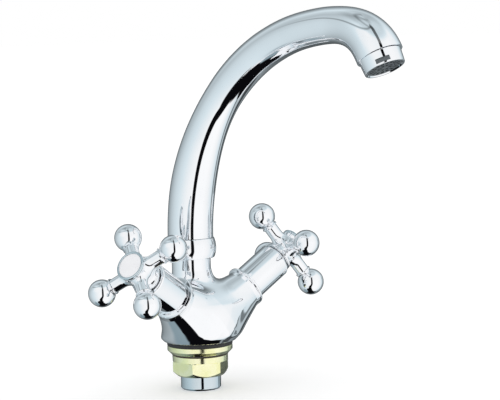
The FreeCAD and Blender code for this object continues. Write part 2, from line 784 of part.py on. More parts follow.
def makeHandle(side, name):
    """One casting: hub with a bell skirt and four arms that end in balls."""
    body = newBody(name + "_handle")
    turn(body, [("0", "-skirtDepth"), ("skirtRadius", "-skirtDepth"), ("skirtRadius", "skirtLip - skirtDepth"),
                ("(skirtRadius + hubRadius) / 2 - 0.4", "-(skirtDepth - skirtLip + skirtWaist) / 2 - 0.4"),
                ("hubRadius", "-skirtWaist"), ("hubRadius", "hubTop - 3"),
                ("hubFlare", "hubTop"), ("0", "hubTop")], "Hub")
    junction = "ballReach - sqrt(ballRadius^2 - armRadius^2)"
    arm = newSketch(body, "ArmOutline", "XZ_Plane")
    drawOutline(arm, [("0", "0"), ("ballReach + ballRadius", "0"),
                      ("ballReach", "ballRadius", "ballRadius"), (junction, "armRadius", "ballRadius"),
                      ("armBeadReach", "armRadius"), ("armBeadReach", "armBead"),
                      ("armBeadReach - armBeadWidth", "armBead"), ("armBeadReach - armBeadWidth", "armRadius"),
                      ("armCove", "armRadius"), ("hubRadius + 1", "armRoot - 0.9"),
                      ("hubRadius - 1", "armRoot"), ("0", "armRoot")])
    turned = body.newObject("PartDesign::Revolution", "Arm")
    turned.Profile = arm
    turned.ReferenceAxis = (arm, ["H_Axis"])
    turned.Angle = 360
    doc.recompute()
    polar(body, turned, "4", "Arms")
    socket = "guideRadius - splineDepth + runningFit"
    floor = "splineTop - handleReach + 0.6"
    turn(body, ringOutline("0", "skirtHole", "-skirtDepth - 1", "skirtRecess - skirtDepth"), "SkirtRecess", "Groove")
    turn(body, ringOutline("0", socket, "-skirtDepth", floor), "Socket", "Groove")
    turn(body, ringOutline("0", "handleScrewRadius + looseFit", "-skirtDepth", "screwSeat + 1"), "ScrewHole", "Groove")
    turn(body, ringOutline("0", "screwHeadRadius + looseFit", "screwSeat", "hubTop + 1"), "Counterbore", "Groove")
    turn(body, ringOutline("0", "capPlug + runningFit", "hubTop - capPlugDepth", "hubTop + 1"), "CapSeat", "Groove")
    notch = newSketch(body, "SplineNotch", "XY_Plane")
    bind(notch, "AttachmentOffset.Base.z", floor)
    half = "(2 * pi * guideRadius / splineCount - splineWidth) / 2 + 0.03"
    turnedHalf = FreeCAD.Rotation(V(0, 0, 1), 180 / size("splineCount"))
    notch.AttachmentOffset = FreeCAD.Placement(V(0, 0, size(floor)), turnedHalf)
    drawBox(notch, socket + " - 0.3", "guideRadius + runningFit", "-(%s)" % half, half)
    cut = extrude(body, notch, "skirtDepth", "SplineNotchCut", "Pocket")
    polar(body, cut, "splineCount", "SplineNotches")
    body.Placement = handleCentre(side)


def makeHandleScrew(side, name):
    body = newBody(name + "_handle_screw")
    top = "screwSeat + screwHeadHeight"
    turn(body, [("0", "screwSeat - screwLength"), ("handleScrewRadius", "screwSeat - screwLength"),
                ("handleScrewRadius", "screwSeat"), ("screwHeadRadius", "screwSeat"),
                ("screwHeadRadius", top + " - 0.6"), ("screwHeadRadius - 0.8", top), ("0", top)])
    slot = levelSketch(body, "Slot", top)
    drawBox(slot, "-screwHeadRadius - 1", "screwHeadRadius + 1", "-slotWidth / 2", "slotWidth / 2")
    extrude(body, slot, "slotDepth", "DriverSlot", "Pocket")
    body.Placement = handleCentre(side)


def makeIndexCap(side, name):
    """Snap-in cap with a raised rim round the enamel disc."""
    body = newBody(name + "_index_cap")
    top = "hubTop + capHeight"
    turn(body, [("0", "hubTop - capPlugDepth + 0.4"), ("capPlug", "hubTop - capPlugDepth + 0.4"),
                ("capPlug", "hubTop"), ("capRadius - 0.5", "hubTop"), ("capRadius", "hubTop + 0.6"),
                ("capRadius", top + " - 0.5"), ("capRadius - 0.4", top),
                ("capRadius - capRim", top), ("capRadius - capRim", top + " - discInset"),
                ("0", top + " - discInset")])
    body.Placement = handleCentre(side)


def makeIndexDisc(side, name):
    body = newBody(name + "_index_disc")
    top = "hubTop + capHeight"
    rim = "capRadius - capRim - runningFit"
    turn(body, [("0", top + " - discInset"), (rim, top + " - discInset"), (rim, top + " - 0.3"),
                ("0", top + " - 0.1")])
    body.Placement = handleCentre(side)


# ---------------------------------------------------------------- spout joint and spout

def makeCollar():
    """Barrel shaped union nut whose lip holds the spout down."""
    body = newBody("spout_collar")
    belly = "((collarTop - collarBottom)^2 / 8 / (collarBelly - collarEnd) + (collarBelly - collarEnd) / 2)"
    turn(body, [("collarThread + runningFit", "collarBottom"), ("collarEnd", "collarBottom"),
                ("collarEnd", "collarTop", belly), ("tailHead + looseFit / 2", "collarTop"),
                ("tailHead + looseFit / 2", "collarTop - collarLip"),
                ("collarThread + runningFit", "collarTop - collarLip")])
    body.Placement = spoutFrame()


def makeSlipRing():
    body = newBody("slip_ring")
    top = "collarTop - collarLip"
    turn(body, ringOutline("tailHead + 2 * runningFit", "collarThread - runningFit", top + " - slipHeight", top))
    body.Placement = spoutFrame()


def makeSpoutTail():
    """Brass tail that turns in the body's bore: two ring grooves, clip groove and head."""
    body = newBody("spout_tail")
    clip = "neckTop + looseFit"
    corners = [("tailBore", "tailBottom"), ("tailRadius - 0.5", "tailBottom"), ("tailRadius", "tailBottom + 0.5")]
    for level in ("tailRingLower", "tailRingUpper"):
        corners += [("tailRadius", level), ("tailRadius - grooveDepth", level),
                    ("tailRadius - grooveDepth", level + " + grooveWidth"), ("tailRadius", level + " + grooveWidth")]
    corners += [("tailRadius", clip), ("clipInner", clip), ("clipInner", clip + " + clipHeight"),
                ("tailHead", clip + " + clipHeight"), ("tailHead", "tailHeadTop"), ("tailBore", "tailHeadTop")]
    turn(body, corners)
    body.Placement = spoutFrame()


def makeTailRing(label, level):
    body = newBody(label)
    section = "(grooveDepth + runningFit) / 2 - 0.01"
    squeezedRing(body, "tailRadius - grooveDepth / 2 + runningFit / 2 - 0.01", level + " + grooveWidth / 2", section)
    body.Placement = spoutFrame()


def makeClip():
    """Split retaining ring snapped into the tail's groove."""
    body = newBody("spout_clip")
    bottom = "neckTop + looseFit"
    top = bottom + " + clipHeight - runningFit"
    ring = turn(body, ringOutline("clipInner + runningFit", "clipOuter", bottom, top))
    bind(ring, "Angle", "360 - clipGap")
    body.Placement = spoutFrame()


def makeSpout():
    """Goose neck: a tapered tube lofted through circles square to its centre line."""
    body = newBody("spout")
    count = int(size("spoutSections"))
    last = -math.radians(size("dropAngle"))
    headings = [math.pi / 2 + (last - math.pi / 2) * step / count for step in range(count + 1)]
    outside, inside = [], []
    for step, heading in enumerate(headings):
        point, along = spoutPath(heading)
        turned = FreeCAD.Rotation(V(1, 0, 0), V(0, 0, 0), along, "ZXY")
        offset = FreeCAD.Placement(point, turned)
        tube = newSketch(body, "Tube%d" % step, "XY_Plane", offset)
        tube.addGeometry(Part.Circle(V(0, 0, 0), V(0, 0, 1), spoutSection(heading)))
        outside.append(tube)
        bore = newSketch(body, "Bore%d" % step, "XY_Plane", offset)
        drawCircle(bore, "spoutBoreRadius")
        inside.append(bore)
    loft(body, outside, "Tube")
    loft(body, inside, "Bore", "SubtractiveLoft")
    foot = V(0, 0, size("collarTop"))
    drill(body, foot, V(0, 0, size("tailHeadTop + runningFit")), "tailHead + runningFit", "TailSocket")
    point, along = spoutPath(last)
    depth = size("aeratorThreadLength + sealingWidth")
    drill(body, point + along * 2, point - along * depth, "aeratorThread + runningFit", "AeratorSocket")
    body.Placement = spoutFrame()


# ---------------------------------------------------------------- aerator

def makeAeratorHousing():
    """Screw-in sleeve with two wrench notches near its mouth."""
    body = newBody("aerator_housing")
    turn(body, [("aeratorBore", "-aeratorThreadLength"), ("aeratorThread", "-aeratorThreadLength"),
                ("aeratorThread", "0"), ("aeratorRadius - 0.3", "0"), ("aeratorRadius", "0.5"),
                ("aeratorRadius - 0.4", "aeratorLength - 0.8"), ("aeratorRadius - 1.2", "aeratorLength"),
                ("aeratorLip", "aeratorLength"), ("aeratorLip", "aeratorLength - aeratorLipHeight"),
                ("aeratorBore", "aeratorLength - aeratorLipHeight")])
    for face in (0, 180):
        quarter = FreeCAD.Rotation(V(0, 0, 1), size("notchTurn") + 90 + face)
        upright = FreeCAD.Rotation(V(1, 0, 0), 90)
        offset = FreeCAD.Placement(V(0, 0, 0), quarter) * FreeCAD.Placement(
            V(0, -size("aeratorRadius - notchDepth"), 0), upright)
        notch = newSketch(body, "Notch%d" % face, "XY_Plane", offset)
        low = "aeratorLength - notchUp - notchHeight"
        drawBox(notch, "-notchWidth / 2", "notchWidth / 2", low, "aeratorLength - notchUp")
        extrude(body, notch, "notchDepth + 2", "NotchCut%d" % face, "Pocket", backward=True)
    body.Placement = outletFrame()


def makeAeratorInsert():
    """Moulded cup with a grid of radial slots across the mouth."""
    body = newBody("aerator_insert")
    top = "aeratorLength - aeratorLipHeight - runningFit"
    rim = "aeratorBore - runningFit"
    turn(body, [("0", top + " - gridThickness"), (rim + " - insertWall", top + " - gridThickness"),
                (rim + " - insertWall", top + " - insertLength"), (rim, top + " - insertLength"),
                (rim, top), ("0", top)])
    rings = (("Inner", "gridInner", "gridMiddle", "innerSlots"),
             ("Outer", "gridMiddle + gridRib", "aeratorLip - gridRib", "outerSlots"))
    for name, inner, outer, count in rings:
        slot = levelSketch(body, name + "Slot", top)
        sector(slot, inner, outer, "0", "360 / %s * 0.62" % count)
        cut = extrude(body, slot, "gridThickness + 1", name + "Cut", "Pocket")
        polar(body, cut, count, name + "Slots")
    body.Placement = outletFrame()


def makeAeratorSeal():
    body = newBody("aerator_seal")
    bottom = "-aeratorThreadLength - sealingWidth"
    turn(body, ringOutline("spoutBoreRadius + 0.4", "aeratorThread - runningFit", bottom, "-aeratorThreadLength"))
    body.Placement = outletFrame()


# ---------------------------------------------------------------- whole

SIDES = ((-1, "left"), (1, "right"))
SEAL_TOP = "seatReach + sealHeight"
TURNING_BOTTOM = SEAL_TOP + " + fixedDiscHeight"
TURNING_TOP = TURNING_BOTTOM + " + turningDiscHeight"
DRIVER_TOP = TURNING_TOP + " + driverHeight"
STOP_TOP = DRIVER_TOP + " + stopHeight"
SCREW_END = "handleReach + screwSeat - screwLength"


def makeFaucet():
    fillSheet()
    makeGasket()
    makeWasher()
    makeFibreWasher()
    makeNut()
    makeShank()
    makeValveBody()
    makeCollar()
    makeSlipRing()
    makeSpoutTail()
    makeTailRing("tail_ring_lower", "tailRingLower")
    makeTailRing("tail_ring_upper", "tailRingUpper")
    makeClip()
    makeSpout()
    makeAeratorHousing()
    makeAeratorInsert()
    makeAeratorSeal()
    for side, name in SIDES:
        makeHeadwork(side, name)
        makeHeadworkRing(side, name)
        makeSeatSeal(side, name)
        makeFixedDisc(side, name)
        makeTurningDisc(side, name)
        makeSpindle(side, name)
        makeSpindleRing(side, name)
        makeBonnet(side, name)
        makeHandle(side, name)
        makeHandleScrew(side, name)
        makeIndexCap(side, name)
        makeIndexDisc(side, name)
    doc.recompute()


def writeParts():
    """Write each piece once every object has solved and every solid is whole."""
    for thing in doc.Objects:
        faults = [state for state in thing.State if state in ("Invalid", "Error")]
        if faults:
            raise RuntimeError("%s is %s" % (thing.Label, faults[0]))
    bodies = [thing for thing in doc.Objects if thing.TypeId == "PartDesign::Body"]
    for body in bodies:
        if body.Shape.isNull() or not body.Shape.isValid():
            raise RuntimeError("%s has no valid shape" % body.Label)
    os.makedirs("parts", exist_ok=True)
    for body in bodies:
        body.Shape.exportStep("parts/%s.step" % body.Label)
        print("%-24s %9.1f mm3 %2d solid" % (body.Label, body.Shape.Volume, len(body.Shape.Solids)))


makeFaucet()
writeParts()
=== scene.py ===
# Two handle kitchen faucet: finishes, smooth castings and a white studio.
import json
from math import cos, pi, radians, sin, sqrt, tan

import bmesh
import bpy
import numpy as np
from mathutils import Matrix, Vector


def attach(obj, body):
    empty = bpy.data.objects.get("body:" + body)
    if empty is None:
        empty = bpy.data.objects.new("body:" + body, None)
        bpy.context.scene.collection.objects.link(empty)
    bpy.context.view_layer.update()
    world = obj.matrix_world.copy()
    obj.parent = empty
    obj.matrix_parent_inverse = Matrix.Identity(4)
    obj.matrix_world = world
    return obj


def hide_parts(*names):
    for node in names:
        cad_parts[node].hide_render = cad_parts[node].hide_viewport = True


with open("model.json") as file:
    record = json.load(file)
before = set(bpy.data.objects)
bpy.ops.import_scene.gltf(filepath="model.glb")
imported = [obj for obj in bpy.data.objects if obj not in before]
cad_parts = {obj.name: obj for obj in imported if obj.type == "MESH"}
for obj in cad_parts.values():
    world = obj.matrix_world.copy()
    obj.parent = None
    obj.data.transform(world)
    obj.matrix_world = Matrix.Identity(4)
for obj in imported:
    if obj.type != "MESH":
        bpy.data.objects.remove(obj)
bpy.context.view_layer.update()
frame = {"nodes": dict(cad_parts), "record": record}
nodes = frame["nodes"]
mm = 0.001
bpy.context.scene.view_settings.view_transform = "Standard"


# camera

cameraSettings = {"azimuth": -45.0, "elevation": 5.4, "roll": -1.6, "distance": 1.2838,
                  "aside": 0.03495, "height": 0.0925, "lens": 144.0, "sensor": 36.0, "near": 0.05, "far": 50.0}


def makeCamera(c):
    az, el, roll = radians(c["azimuth"]), radians(c["elevation"]), radians(c["roll"])
    back = Vector((sin(az) * cos(el), -cos(az) * cos(el), sin(el)))
    level = Vector((cos(az), sin(az), 0))
    tall = back.cross(level)
    right = level * cos(roll) + tall * sin(roll)
    up = tall * cos(roll) - level * sin(roll)
    place = back * c["distance"] + level * c["aside"] + Vector((0, 0, c["height"]))
    data = bpy.data.cameras.new("photoCamera")
    data.lens, data.sensor_width = c["lens"], c["sensor"]
    data.clip_start, data.clip_end = c["near"], c["far"]
    camera = bpy.data.objects.new("photoCamera", data)
    turn = Matrix((right, up, back)).transposed().to_4x4()
    camera.matrix_world = Matrix.Translation(place) @ turn
    bpy.context.scene.collection.objects.link(camera)
    bpy.context.scene.camera = camera
    return back


towardsCamera = makeCamera(cameraSettings)
print("camera set")


# shader helpers

class Wire:
    # one output of a node, with the arithmetic a material needs
    def __init__(self, tree, socket):
        self.tree, self.socket = tree, socket

    def join(self, operation, other, swap=False):
        first, second = (other, self) if swap else (self, other)
        node = self.tree.nodes.new("ShaderNodeMath")
        node.operation = operation
        for slot, value in zip(node.inputs, (first, second)):
            if isinstance(value, Wire):
                self.tree.links.new(value.socket, slot)
            elif value is not None:
                slot.default_value = value
        return Wire(self.tree, node.outputs[0])

    def __add__(self, other):
        return self.join("ADD", other)

    def __radd__(self, other):
        return self.join("ADD", other, True)

    def __sub__(self, other):
        return self.join("SUBTRACT", other)

    def __rsub__(self, other):
        return self.join("SUBTRACT", other, True)

    def __mul__(self, other):
        return self.join("MULTIPLY", other)

    def __rmul__(self, other):
        return self.join("MULTIPLY", other, True)

    def __truediv__(self, other):
        return self.join("DIVIDE", other)

    def __pow__(self, other):
        return self.join("POWER", other)

    def atMost(self, other):
        return self.join("MINIMUM", other)

    def atLeast(self, other):
        return self.join("MAXIMUM", other)

    def smooth(self, low, high):
        node = self.tree.nodes.new("ShaderNodeMapRange")
        node.interpolation_type = "SMOOTHSTEP"
        self.tree.links.new(self.socket, node.inputs["Value"])
        node.inputs["From Min"].default_value = low
        node.inputs["From Max"].default_value = high
        return Wire(self.tree, node.outputs[0])


class Bench:
    # a node tree being wired
    def __init__(self, tree):
        self.tree = tree

    def add(self, kind, settings=None, values=None, output=0):
        node = self.tree.nodes.new(kind)
        for name, value in (settings or {}).items():
            if name == "stops":
                ramp = node.color_ramp
                while len(ramp.elements) < len(value):
                    ramp.elements.new(0.5)
                for element, (place, colour) in zip(ramp.elements, value):
                    element.position, element.color = place, colour
            else:
                setattr(node, name, value)
        for name, value in (values or {}).items():
            if isinstance(value, Wire):
                self.tree.links.new(value.socket, node.inputs[name])
            else:
                node.inputs[name].default_value = value
        return Wire(self.tree, node.outputs[output])

    def feed(self, node, name, wire):
        self.tree.links.new(wire.socket, node.inputs[name])

    def place(self):
        # object coordinates in millimetres
        return self.add("ShaderNodeVectorMath", {"operation": "SCALE"},
                        {0: self.add("ShaderNodeTexCoord", output=3), "Scale": 1000.0})

    def noise(self, scale, detail=3.0, vector=None, rough=0.5):
        return self.add("ShaderNodeTexNoise", None, {"Vector": vector or self.place(), "Scale": scale,
                                                     "Detail": detail, "Roughness": rough})

    def blend(self, share, first, second):
        return self.add("ShaderNodeMix", {"data_type": "RGBA"}, {0: share, 6: first, 7: second}, 2)


def newMaterial(name, base, roughness, metallic=0.0, **fixed):
    material = bpy.data.materials.new(name)
    material.use_nodes = True
    shader = material.node_tree.nodes["Principled BSDF"]
    shader.inputs["Base Color"].default_value = (*base, 1.0)
    shader.inputs["Roughness"].default_value = roughness
    shader.inputs["Metallic"].default_value = metallic
    for key, value in fixed.items():
        shader.inputs[key].default_value = value
    return material, shader, Bench(material.node_tree)


def bump(bench, shader, height, distance, strength=1.0):
    wire = bench.add("ShaderNodeBump", None, {"Height": height, "Strength": strength, "Distance": distance})
    bench.feed(shader, "Normal", wire)


# finishes

chromeFinish = {"bright": (0.955, 0.965, 0.985), "dull": (0.88, 0.905, 0.93), "polish": 0.03, "haze": 0.05}

# the shank and the rings of the caps get a darker, greyer copy of the chrome than the rest
greyFinish = {"bright": (0.66, 0.74, 0.78), "dull": (0.52, 0.60, 0.64), "polish": 0.06, "haze": 0.1}


def makeChrome(c, name="polishedChrome"):
    material, shader, bench = newMaterial(name, c["bright"], c["polish"], 1.0)
    film = bench.noise(0.035, 3.0).smooth(0.42, 0.72)
    specks = bench.noise(1.7, 2.0).smooth(0.62, 0.8)
    wipes = bench.noise(0.4, 4.0, rough=0.65)
    bench.feed(shader, "Base Color", bench.blend(film * 0.35, (*c["bright"], 1), (*c["dull"], 1)))
    bench.feed(shader, "Roughness", c["polish"] + film * wipes * c["haze"] + specks * 0.02)
    bump(bench, shader, bench.noise(0.22, 1.0), 0.00002, 0.2)
    return material


brassFinish = {"pale": (0.99, 0.975, 0.66), "deep": (0.94, 0.935, 0.52), "polish": 0.1}


def makeBrass(b, name="machinedBrass", rings=4.0):
    material, shader, bench = newMaterial(name, b["pale"], b["polish"], 1.0)
    place = bench.place()
    cloud = bench.noise(0.12, 4.0, place)
    x, y, z = (bench.add("ShaderNodeSeparateXYZ", None, {0: place}, i) for i in range(3))
    radius = (x * x + y * y) ** 0.5
    turned = bench.add("ShaderNodeMath", {"operation": "SINE"}, {0: (radius + z) * (2 * pi * rings)})
    bench.feed(shader, "Base Color", bench.blend(cloud.smooth(0.35, 0.7), (*b["pale"], 1), (*b["deep"], 1)))
    bench.feed(shader, "Roughness", b["polish"] + cloud * 0.14)
    bump(bench, shader, turned * 0.5 + bench.noise(2.5, 2.0, place), 0.00002, 0.25)
    return material


def makePlain(name, base, roughness, grain, depth, tint, **fixed):
    # mouldings, rubber and enamel: a faint mottling and a fine surface grain
    material, shader, bench = newMaterial(name, base, roughness, **fixed)
    mottle = bench.noise(0.15, 4.0)
    fine = bench.noise(grain, 3.0)
    bench.feed(shader, "Base Color", bench.blend(mottle.smooth(0.3, 0.8), (*base, 1), (*tint, 1)))
    bench.feed(shader, "Roughness", roughness + (fine - 0.5) * 0.12)
    bump(bench, shader, fine, depth, 0.5)
    return material


def makeSteel():
    material, shader, bench = newMaterial("brightSteel", (0.62, 0.63, 0.64), 0.28, 1.0)
    grain = bench.noise(3.0, 4.0)
    bench.feed(shader, "Base Color", bench.blend(grain, (0.56, 0.57, 0.58, 1), (0.68, 0.69, 0.70, 1)))
    bench.feed(shader, "Roughness", 0.2 + grain * 0.18)
    bump(bench, shader, grain, 0.00002, 0.3)
    return material


finishes = {
    "chrome": makeChrome(chromeFinish),
    "brass": makeBrass(brassFinish),
    "rubber": makePlain("blackRubber", (0.016, 0.016, 0.017), 0.55, 3.0, 0.00004, (0.03, 0.03, 0.03)),
    "fibre": makePlain("pressedFibre", (0.045, 0.04, 0.036), 0.8, 2.0, 0.0001, (0.09, 0.08, 0.07)),
    "nylon": makePlain("whiteNylon", (0.85, 0.85, 0.83), 0.45, 2.0, 0.00003, (0.78, 0.78, 0.75)),
    "ceramic": makePlain("lappedCeramic", (0.86, 0.85, 0.82), 0.15, 4.0, 0.00001, (0.8, 0.79, 0.76)),
    "enamel": makePlain("whiteEnamel", (0.91, 0.91, 0.93), 0.18, 1.0, 0.00001, (0.88, 0.88, 0.905),
                        **{"Coat Weight": 0.5}),
    "steel": makeSteel(),
    # a dark grey for the outlet grid, also used for the plates that paint the shade in the spanner notches
    "acetal": makePlain("greyAcetal", (0.13, 0.15, 0.16), 0.42, 2.0, 0.00003, (0.10, 0.115, 0.13)),
}

greyChrome = makeChrome(greyFinish, "greyChrome")


def coat(piece, material):
    piece.data.materials.clear()
    piece.data.materials.append(material)


def dressFrame():
    # the CAD pieces that are not made again keep their meshes
    slots = {row["node"]: row["material_slot"] for row in frame["record"]["subparts"]}
    for name, node in nodes.items():
        coat(node, finishes[slots[name]])


dressFrame()
print("finishes made:", len(finishes))


# mesh helpers

def link(mesh, name, finish, matrix=None):
    if matrix is not None:
        mesh.transform(matrix)
    piece = bpy.data.objects.new(name, mesh)
    bpy.context.scene.collection.objects.link(piece)
    coat(piece, finishes[finish])
    return piece


def settle(piece):
    # turn the modified piece into a plain mesh
    graph = bpy.context.evaluated_depsgraph_get()
    mesh = bpy.data.meshes.new_from_object(piece.evaluated_get(graph), depsgraph=graph,
                                           preserve_all_data_layers=True)
    piece.modifiers.clear()
    piece.data = mesh
    return piece


def smoothFaces(piece, angle=32):
    piece.data.shade_smooth()
    piece.data.set_sharp_from_angle(angle=radians(angle))
    weighted = piece.modifiers.new("weighted", "WEIGHTED_NORMAL")
    weighted.keep_sharp = True
    weighted.weight = 100
    return settle(piece)


def install(mesh, name, finish, body, replaced, matrix=None, angle=32):
    # a smooth piece on its body, in place of its CAD node
    piece = smoothFaces(link(mesh, name, finish, matrix), angle)
    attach(piece, body)
    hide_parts(replaced)
    return piece


def finished(build, name, facing=True):
    # the mesh that was built, with its faces turned outwards
    if facing:
        bmesh.ops.recalc_face_normals(build, faces=build.faces)
    mesh = bpy.data.meshes.new(name)
    build.to_mesh(mesh)
    build.free()
    return mesh


def softened(corners, steps=5):
    # an outline in (radius, height) whose corners may carry a rounding as a third value
    outline = []
    count = len(corners)
    for index, corner in enumerate(corners):
        here = Vector(corner[:2])
        rounding = corner[2] if len(corner) == 3 else 0
        if not rounding:
            outline.append(here)
            continue
        before = (Vector(corners[index - 1][:2]) - here)
        after = (Vector(corners[(index + 1) % count][:2]) - here)
        reach = min(rounding / tan(before.angle(after) / 2), before.length * 0.49, after.length * 0.49)
        first, last = here + before.normalized() * reach, here + after.normalized() * reach
        radius = reach * tan(before.angle(after) / 2)
        inwards = (before.normalized() + after.normalized()).normalized()
        centre = here + inwards * sqrt(reach ** 2 + radius ** 2)
        for step in range(steps + 1):
            # slerp gives a unit vector
            arm = (first - centre).slerp(last - centre, step / steps)
            outline.append(centre + arm.normalized() * radius)
    return outline


def turned(outline, segments=96, closed=True):
    # a turned solid from an outline in millimetres; points on the axis become poles
    mesh = bmesh.new()
    rings = []
    for point in outline:
        if abs(point[0]) < 1e-6:
            rings.append([mesh.verts.new((0, 0, point[1] * mm))])
        else:
            rings.append([mesh.verts.new((point[0] * mm * cos(2 * pi * k / segments),
                                          point[0] * mm * sin(2 * pi * k / segments), point[1] * mm))
                          for k in range(segments)])
    pairs = list(zip(rings, rings[1:] + ([rings[0]] if closed else [])))
    for low, high in pairs:
        if len(low) == 1 and len(high) == 1:
            continue
        for k in range(segments):
            n = (k + 1) % segments
            corners = [low[0]] if len(low) == 1 else [low[k], low[n]]
            corners += [high[0]] if len(high) == 1 else [high[n], high[k]]
            mesh.faces.new(corners)
    return finished(mesh, "turned")


def joined(pieces, name):
    # several meshes in one piece
    merged = bmesh.new()
    for mesh in pieces:
        merged.from_mesh(mesh)
    return finished(merged, name, False)


# frames of the handles, spout and outlet

stance = {"axesHeight": 14.6, "axesForward": 6.2, "lean": 58.25, "turn": 8.5, "handleReach": 78.6,
          "leftTurn": 41.3, "rightTurn": 69.7, "spoutBack": 5.8}


def sideFrame(side, reach=0.0, spin=0.0):
    lean, turn = radians(stance["lean"]), radians(stance["turn"])
    axis = Vector((side * sin(lean) * cos(turn), -sin(lean) * sin(turn), cos(lean)))
    across = Vector((0, -1, 0))
    across = (across - axis * across.dot(axis)).normalized()
    turnedFrame = Matrix((across, axis.cross(across), axis)).transposed().to_4x4()
    origin = Vector((0, -stance["axesForward"], stance["axesHeight"])) + axis * reach
    return Matrix.Translation(origin * mm) @ turnedFrame @ Matrix.Rotation(radians(spin), 4, "Z")


def handleFrame(side):
    return sideFrame(side, stance["handleReach"], stance["leftTurn" if side < 0 else "rightTurn"])


def spoutFrame(height=0.0):
    return Matrix.Translation(Vector((0, stance["spoutBack"], height)) * mm)


sides = ((-1, "left"), (1, "right"))


# handles

handle = {"ballReach": 27.4, "ballRadius": 8.65, "armRadius": 4.45, "armRoot": 7.0, "armInner": 0.4,
          "coveStart": 6.4, "coveLength": 6.2, "coveSteps": 10, "hubRadius": 8.3, "hubTop": 6.6,
          "hubFlare": 9.4, "skirtRadius": 10.2, "skirtDepth": 9.6, "skirtHole": 8.7, "arms": 4}


def armOutline(h):
    # from the axis of the hub out to the ball: flared root, cove, bead, groove, ball
    arm, ball, root = h["armRadius"], h["ballRadius"], h["armRoot"]
    outline = [(0, h["armInner"]), (root - 0.3, h["armInner"]), (root, h["coveStart"])]
    for step in range(1, h["coveSteps"] + 1):
        share = step / h["coveSteps"]
        outline.append((arm + (root - arm) * (1 - share) ** 2.4, h["coveStart"] + h["coveLength"] * share))
    junction = h["ballReach"] - sqrt(ball ** 2 - (arm - 0.2) ** 2)
    outline += [(arm, junction - 1.9), (arm + 0.75, junction - 1.5), (arm + 0.85, junction - 1.0),
                (arm + 0.6, junction - 0.45), (arm - 0.25, junction - 0.25), (arm - 0.25, junction)]
    start = np.arcsin((arm - 0.2) / ball)
    for angle in np.linspace(start, pi, 28)[1:]:
        outline.append((ball * sin(angle) if angle < pi else 0, h["ballReach"] - ball * cos(angle)))
    return outline


def deliver(bench, geometry, finish, result):
    # real geometry in its finish, out of a Geometry Nodes tree
    real = bench.add("GeometryNodeRealizeInstances", None, {"Geometry": geometry})
    coloured = bench.add("GeometryNodeSetMaterial", None, {"Geometry": real, "Material": finishes[finish]})
    bench.tree.links.new(coloured.socket, result.inputs[0])


def repeatRound(piece, count, finish):
    # Geometry Nodes: copies of the piece turned about its Z axis
    tree = bpy.data.node_groups.new("repeatRound", "GeometryNodeTree")
    tree.interface.new_socket("Geometry", in_out="INPUT", socket_type="NodeSocketGeometry")
    counter = tree.interface.new_socket("Count", in_out="INPUT", socket_type="NodeSocketInt")
    tree.interface.new_socket("Geometry", in_out="OUTPUT", socket_type="NodeSocketGeometry")
    bench = Bench(tree)
    source = tree.nodes.new("NodeGroupInput")
    result = tree.nodes.new("NodeGroupOutput")
    number = Wire(tree, source.outputs["Count"])
    angle = bench.add("GeometryNodeInputIndex") * (2 * pi) / number
    turns = bench.add("ShaderNodeCombineXYZ", None, {"Z": angle})
    spots = bench.add("GeometryNodePoints", None, {"Count": number})
    copies = bench.add("GeometryNodeInstanceOnPoints", None,
                       {"Points": spots, "Instance": Wire(tree, source.outputs["Geometry"]), "Rotation": turns})
    deliver(bench, copies, finish, result)
    modifier = piece.modifiers.new("repeatRound", "NODES")
    modifier.node_group = tree
    modifier[counter.identifier] = count
    return settle(piece)


def makeHandle(side, name):
    h = handle
    arm = turned(armOutline(h), 64)
    arm.transform(Matrix.Rotation(pi / 2, 4, "Y"))
    arms = repeatRound(link(arm, name + "Arms", "chrome"), h["arms"], "chrome")
    depth, skirt, hub = h["skirtDepth"], h["skirtRadius"], h["hubRadius"]
    waist = (skirt + hub) / 2 - 0.75
    corners = [(0, -5.0), (5.0, -5.0), (5.0, -depth + 2.0), (h["skirtHole"], -depth + 2.0, 0.3),
               (h["skirtHole"], -depth, 0.4), (skirt, -depth, 0.5), (skirt, -depth + 1.5, 0.5),
               (skirt - 0.7, -depth + 1.9, 0.3), (waist, -6.6, 3.0), (hub, -4.4, 2.0), (hub, 3.4, 2.0),
               (h["hubFlare"], h["hubTop"] - 0.4, 0.4), (h["hubFlare"] - 0.2, h["hubTop"], 0.2), (0, h["hubTop"])]
    hubMesh = turned(softened(corners), 96)
    mesh = joined([arms.data, hubMesh], name + "HandleMesh")
    bpy.data.objects.remove(arms)
    install(mesh, name + "HandleCasting", "chrome", name + "_handle_assembly", name + "_handle", handleFrame(side))


capShape = {"radius": 9.6, "plug": 6.6, "plugDepth": 2.2, "foot": 6.6, "height": 2.2, "chamfer": 0.7,
            "rim": 1.5, "bead": 0.72, "inset": 0.9, "crown": 0.3, "faceSteps": 8}


def makeCap(side, name):
    # the chrome shell with its ring, and the white face, which is domed a little
    c = capShape
    foot, top, radius = c["foot"], c["foot"] + c["height"], c["radius"]
    inner = radius - c["rim"]
    corners = [(0, foot - c["plugDepth"]), (c["plug"], foot - c["plugDepth"]), (c["plug"], foot),
               (radius - c["chamfer"], foot, 0.2), (radius, foot + c["chamfer"], 0.5), (radius, top, c["bead"]),
               (inner, top, c["bead"]), (inner, top - c["inset"]), (0, top - c["inset"])]
    cap = install(turned(softened(corners), 128), name + "CapShell", "chrome", name + "_handle_assembly",
                  name + "_index_cap", handleFrame(side))
    coat(cap, greyChrome)
    edge, steps = inner - 0.05, c["faceSteps"]
    face = [(0, top - c["inset"]), (edge, top - c["inset"]), (edge, top - 0.5, 0.2)]
    for step in range(1, steps + 1):
        share = 1 - step / steps
        face.append((edge * share, top - 0.45 + c["crown"] * (1 - share ** 2)))
    install(turned(softened(face), 96), name + "CapFace", "enamel", name + "_handle_assembly",
            name + "_index_disc", handleFrame(side))


for side, name in sides:
    makeHandle(side, name)
    makeCap(side, name)
print("handles made")


# bonnets

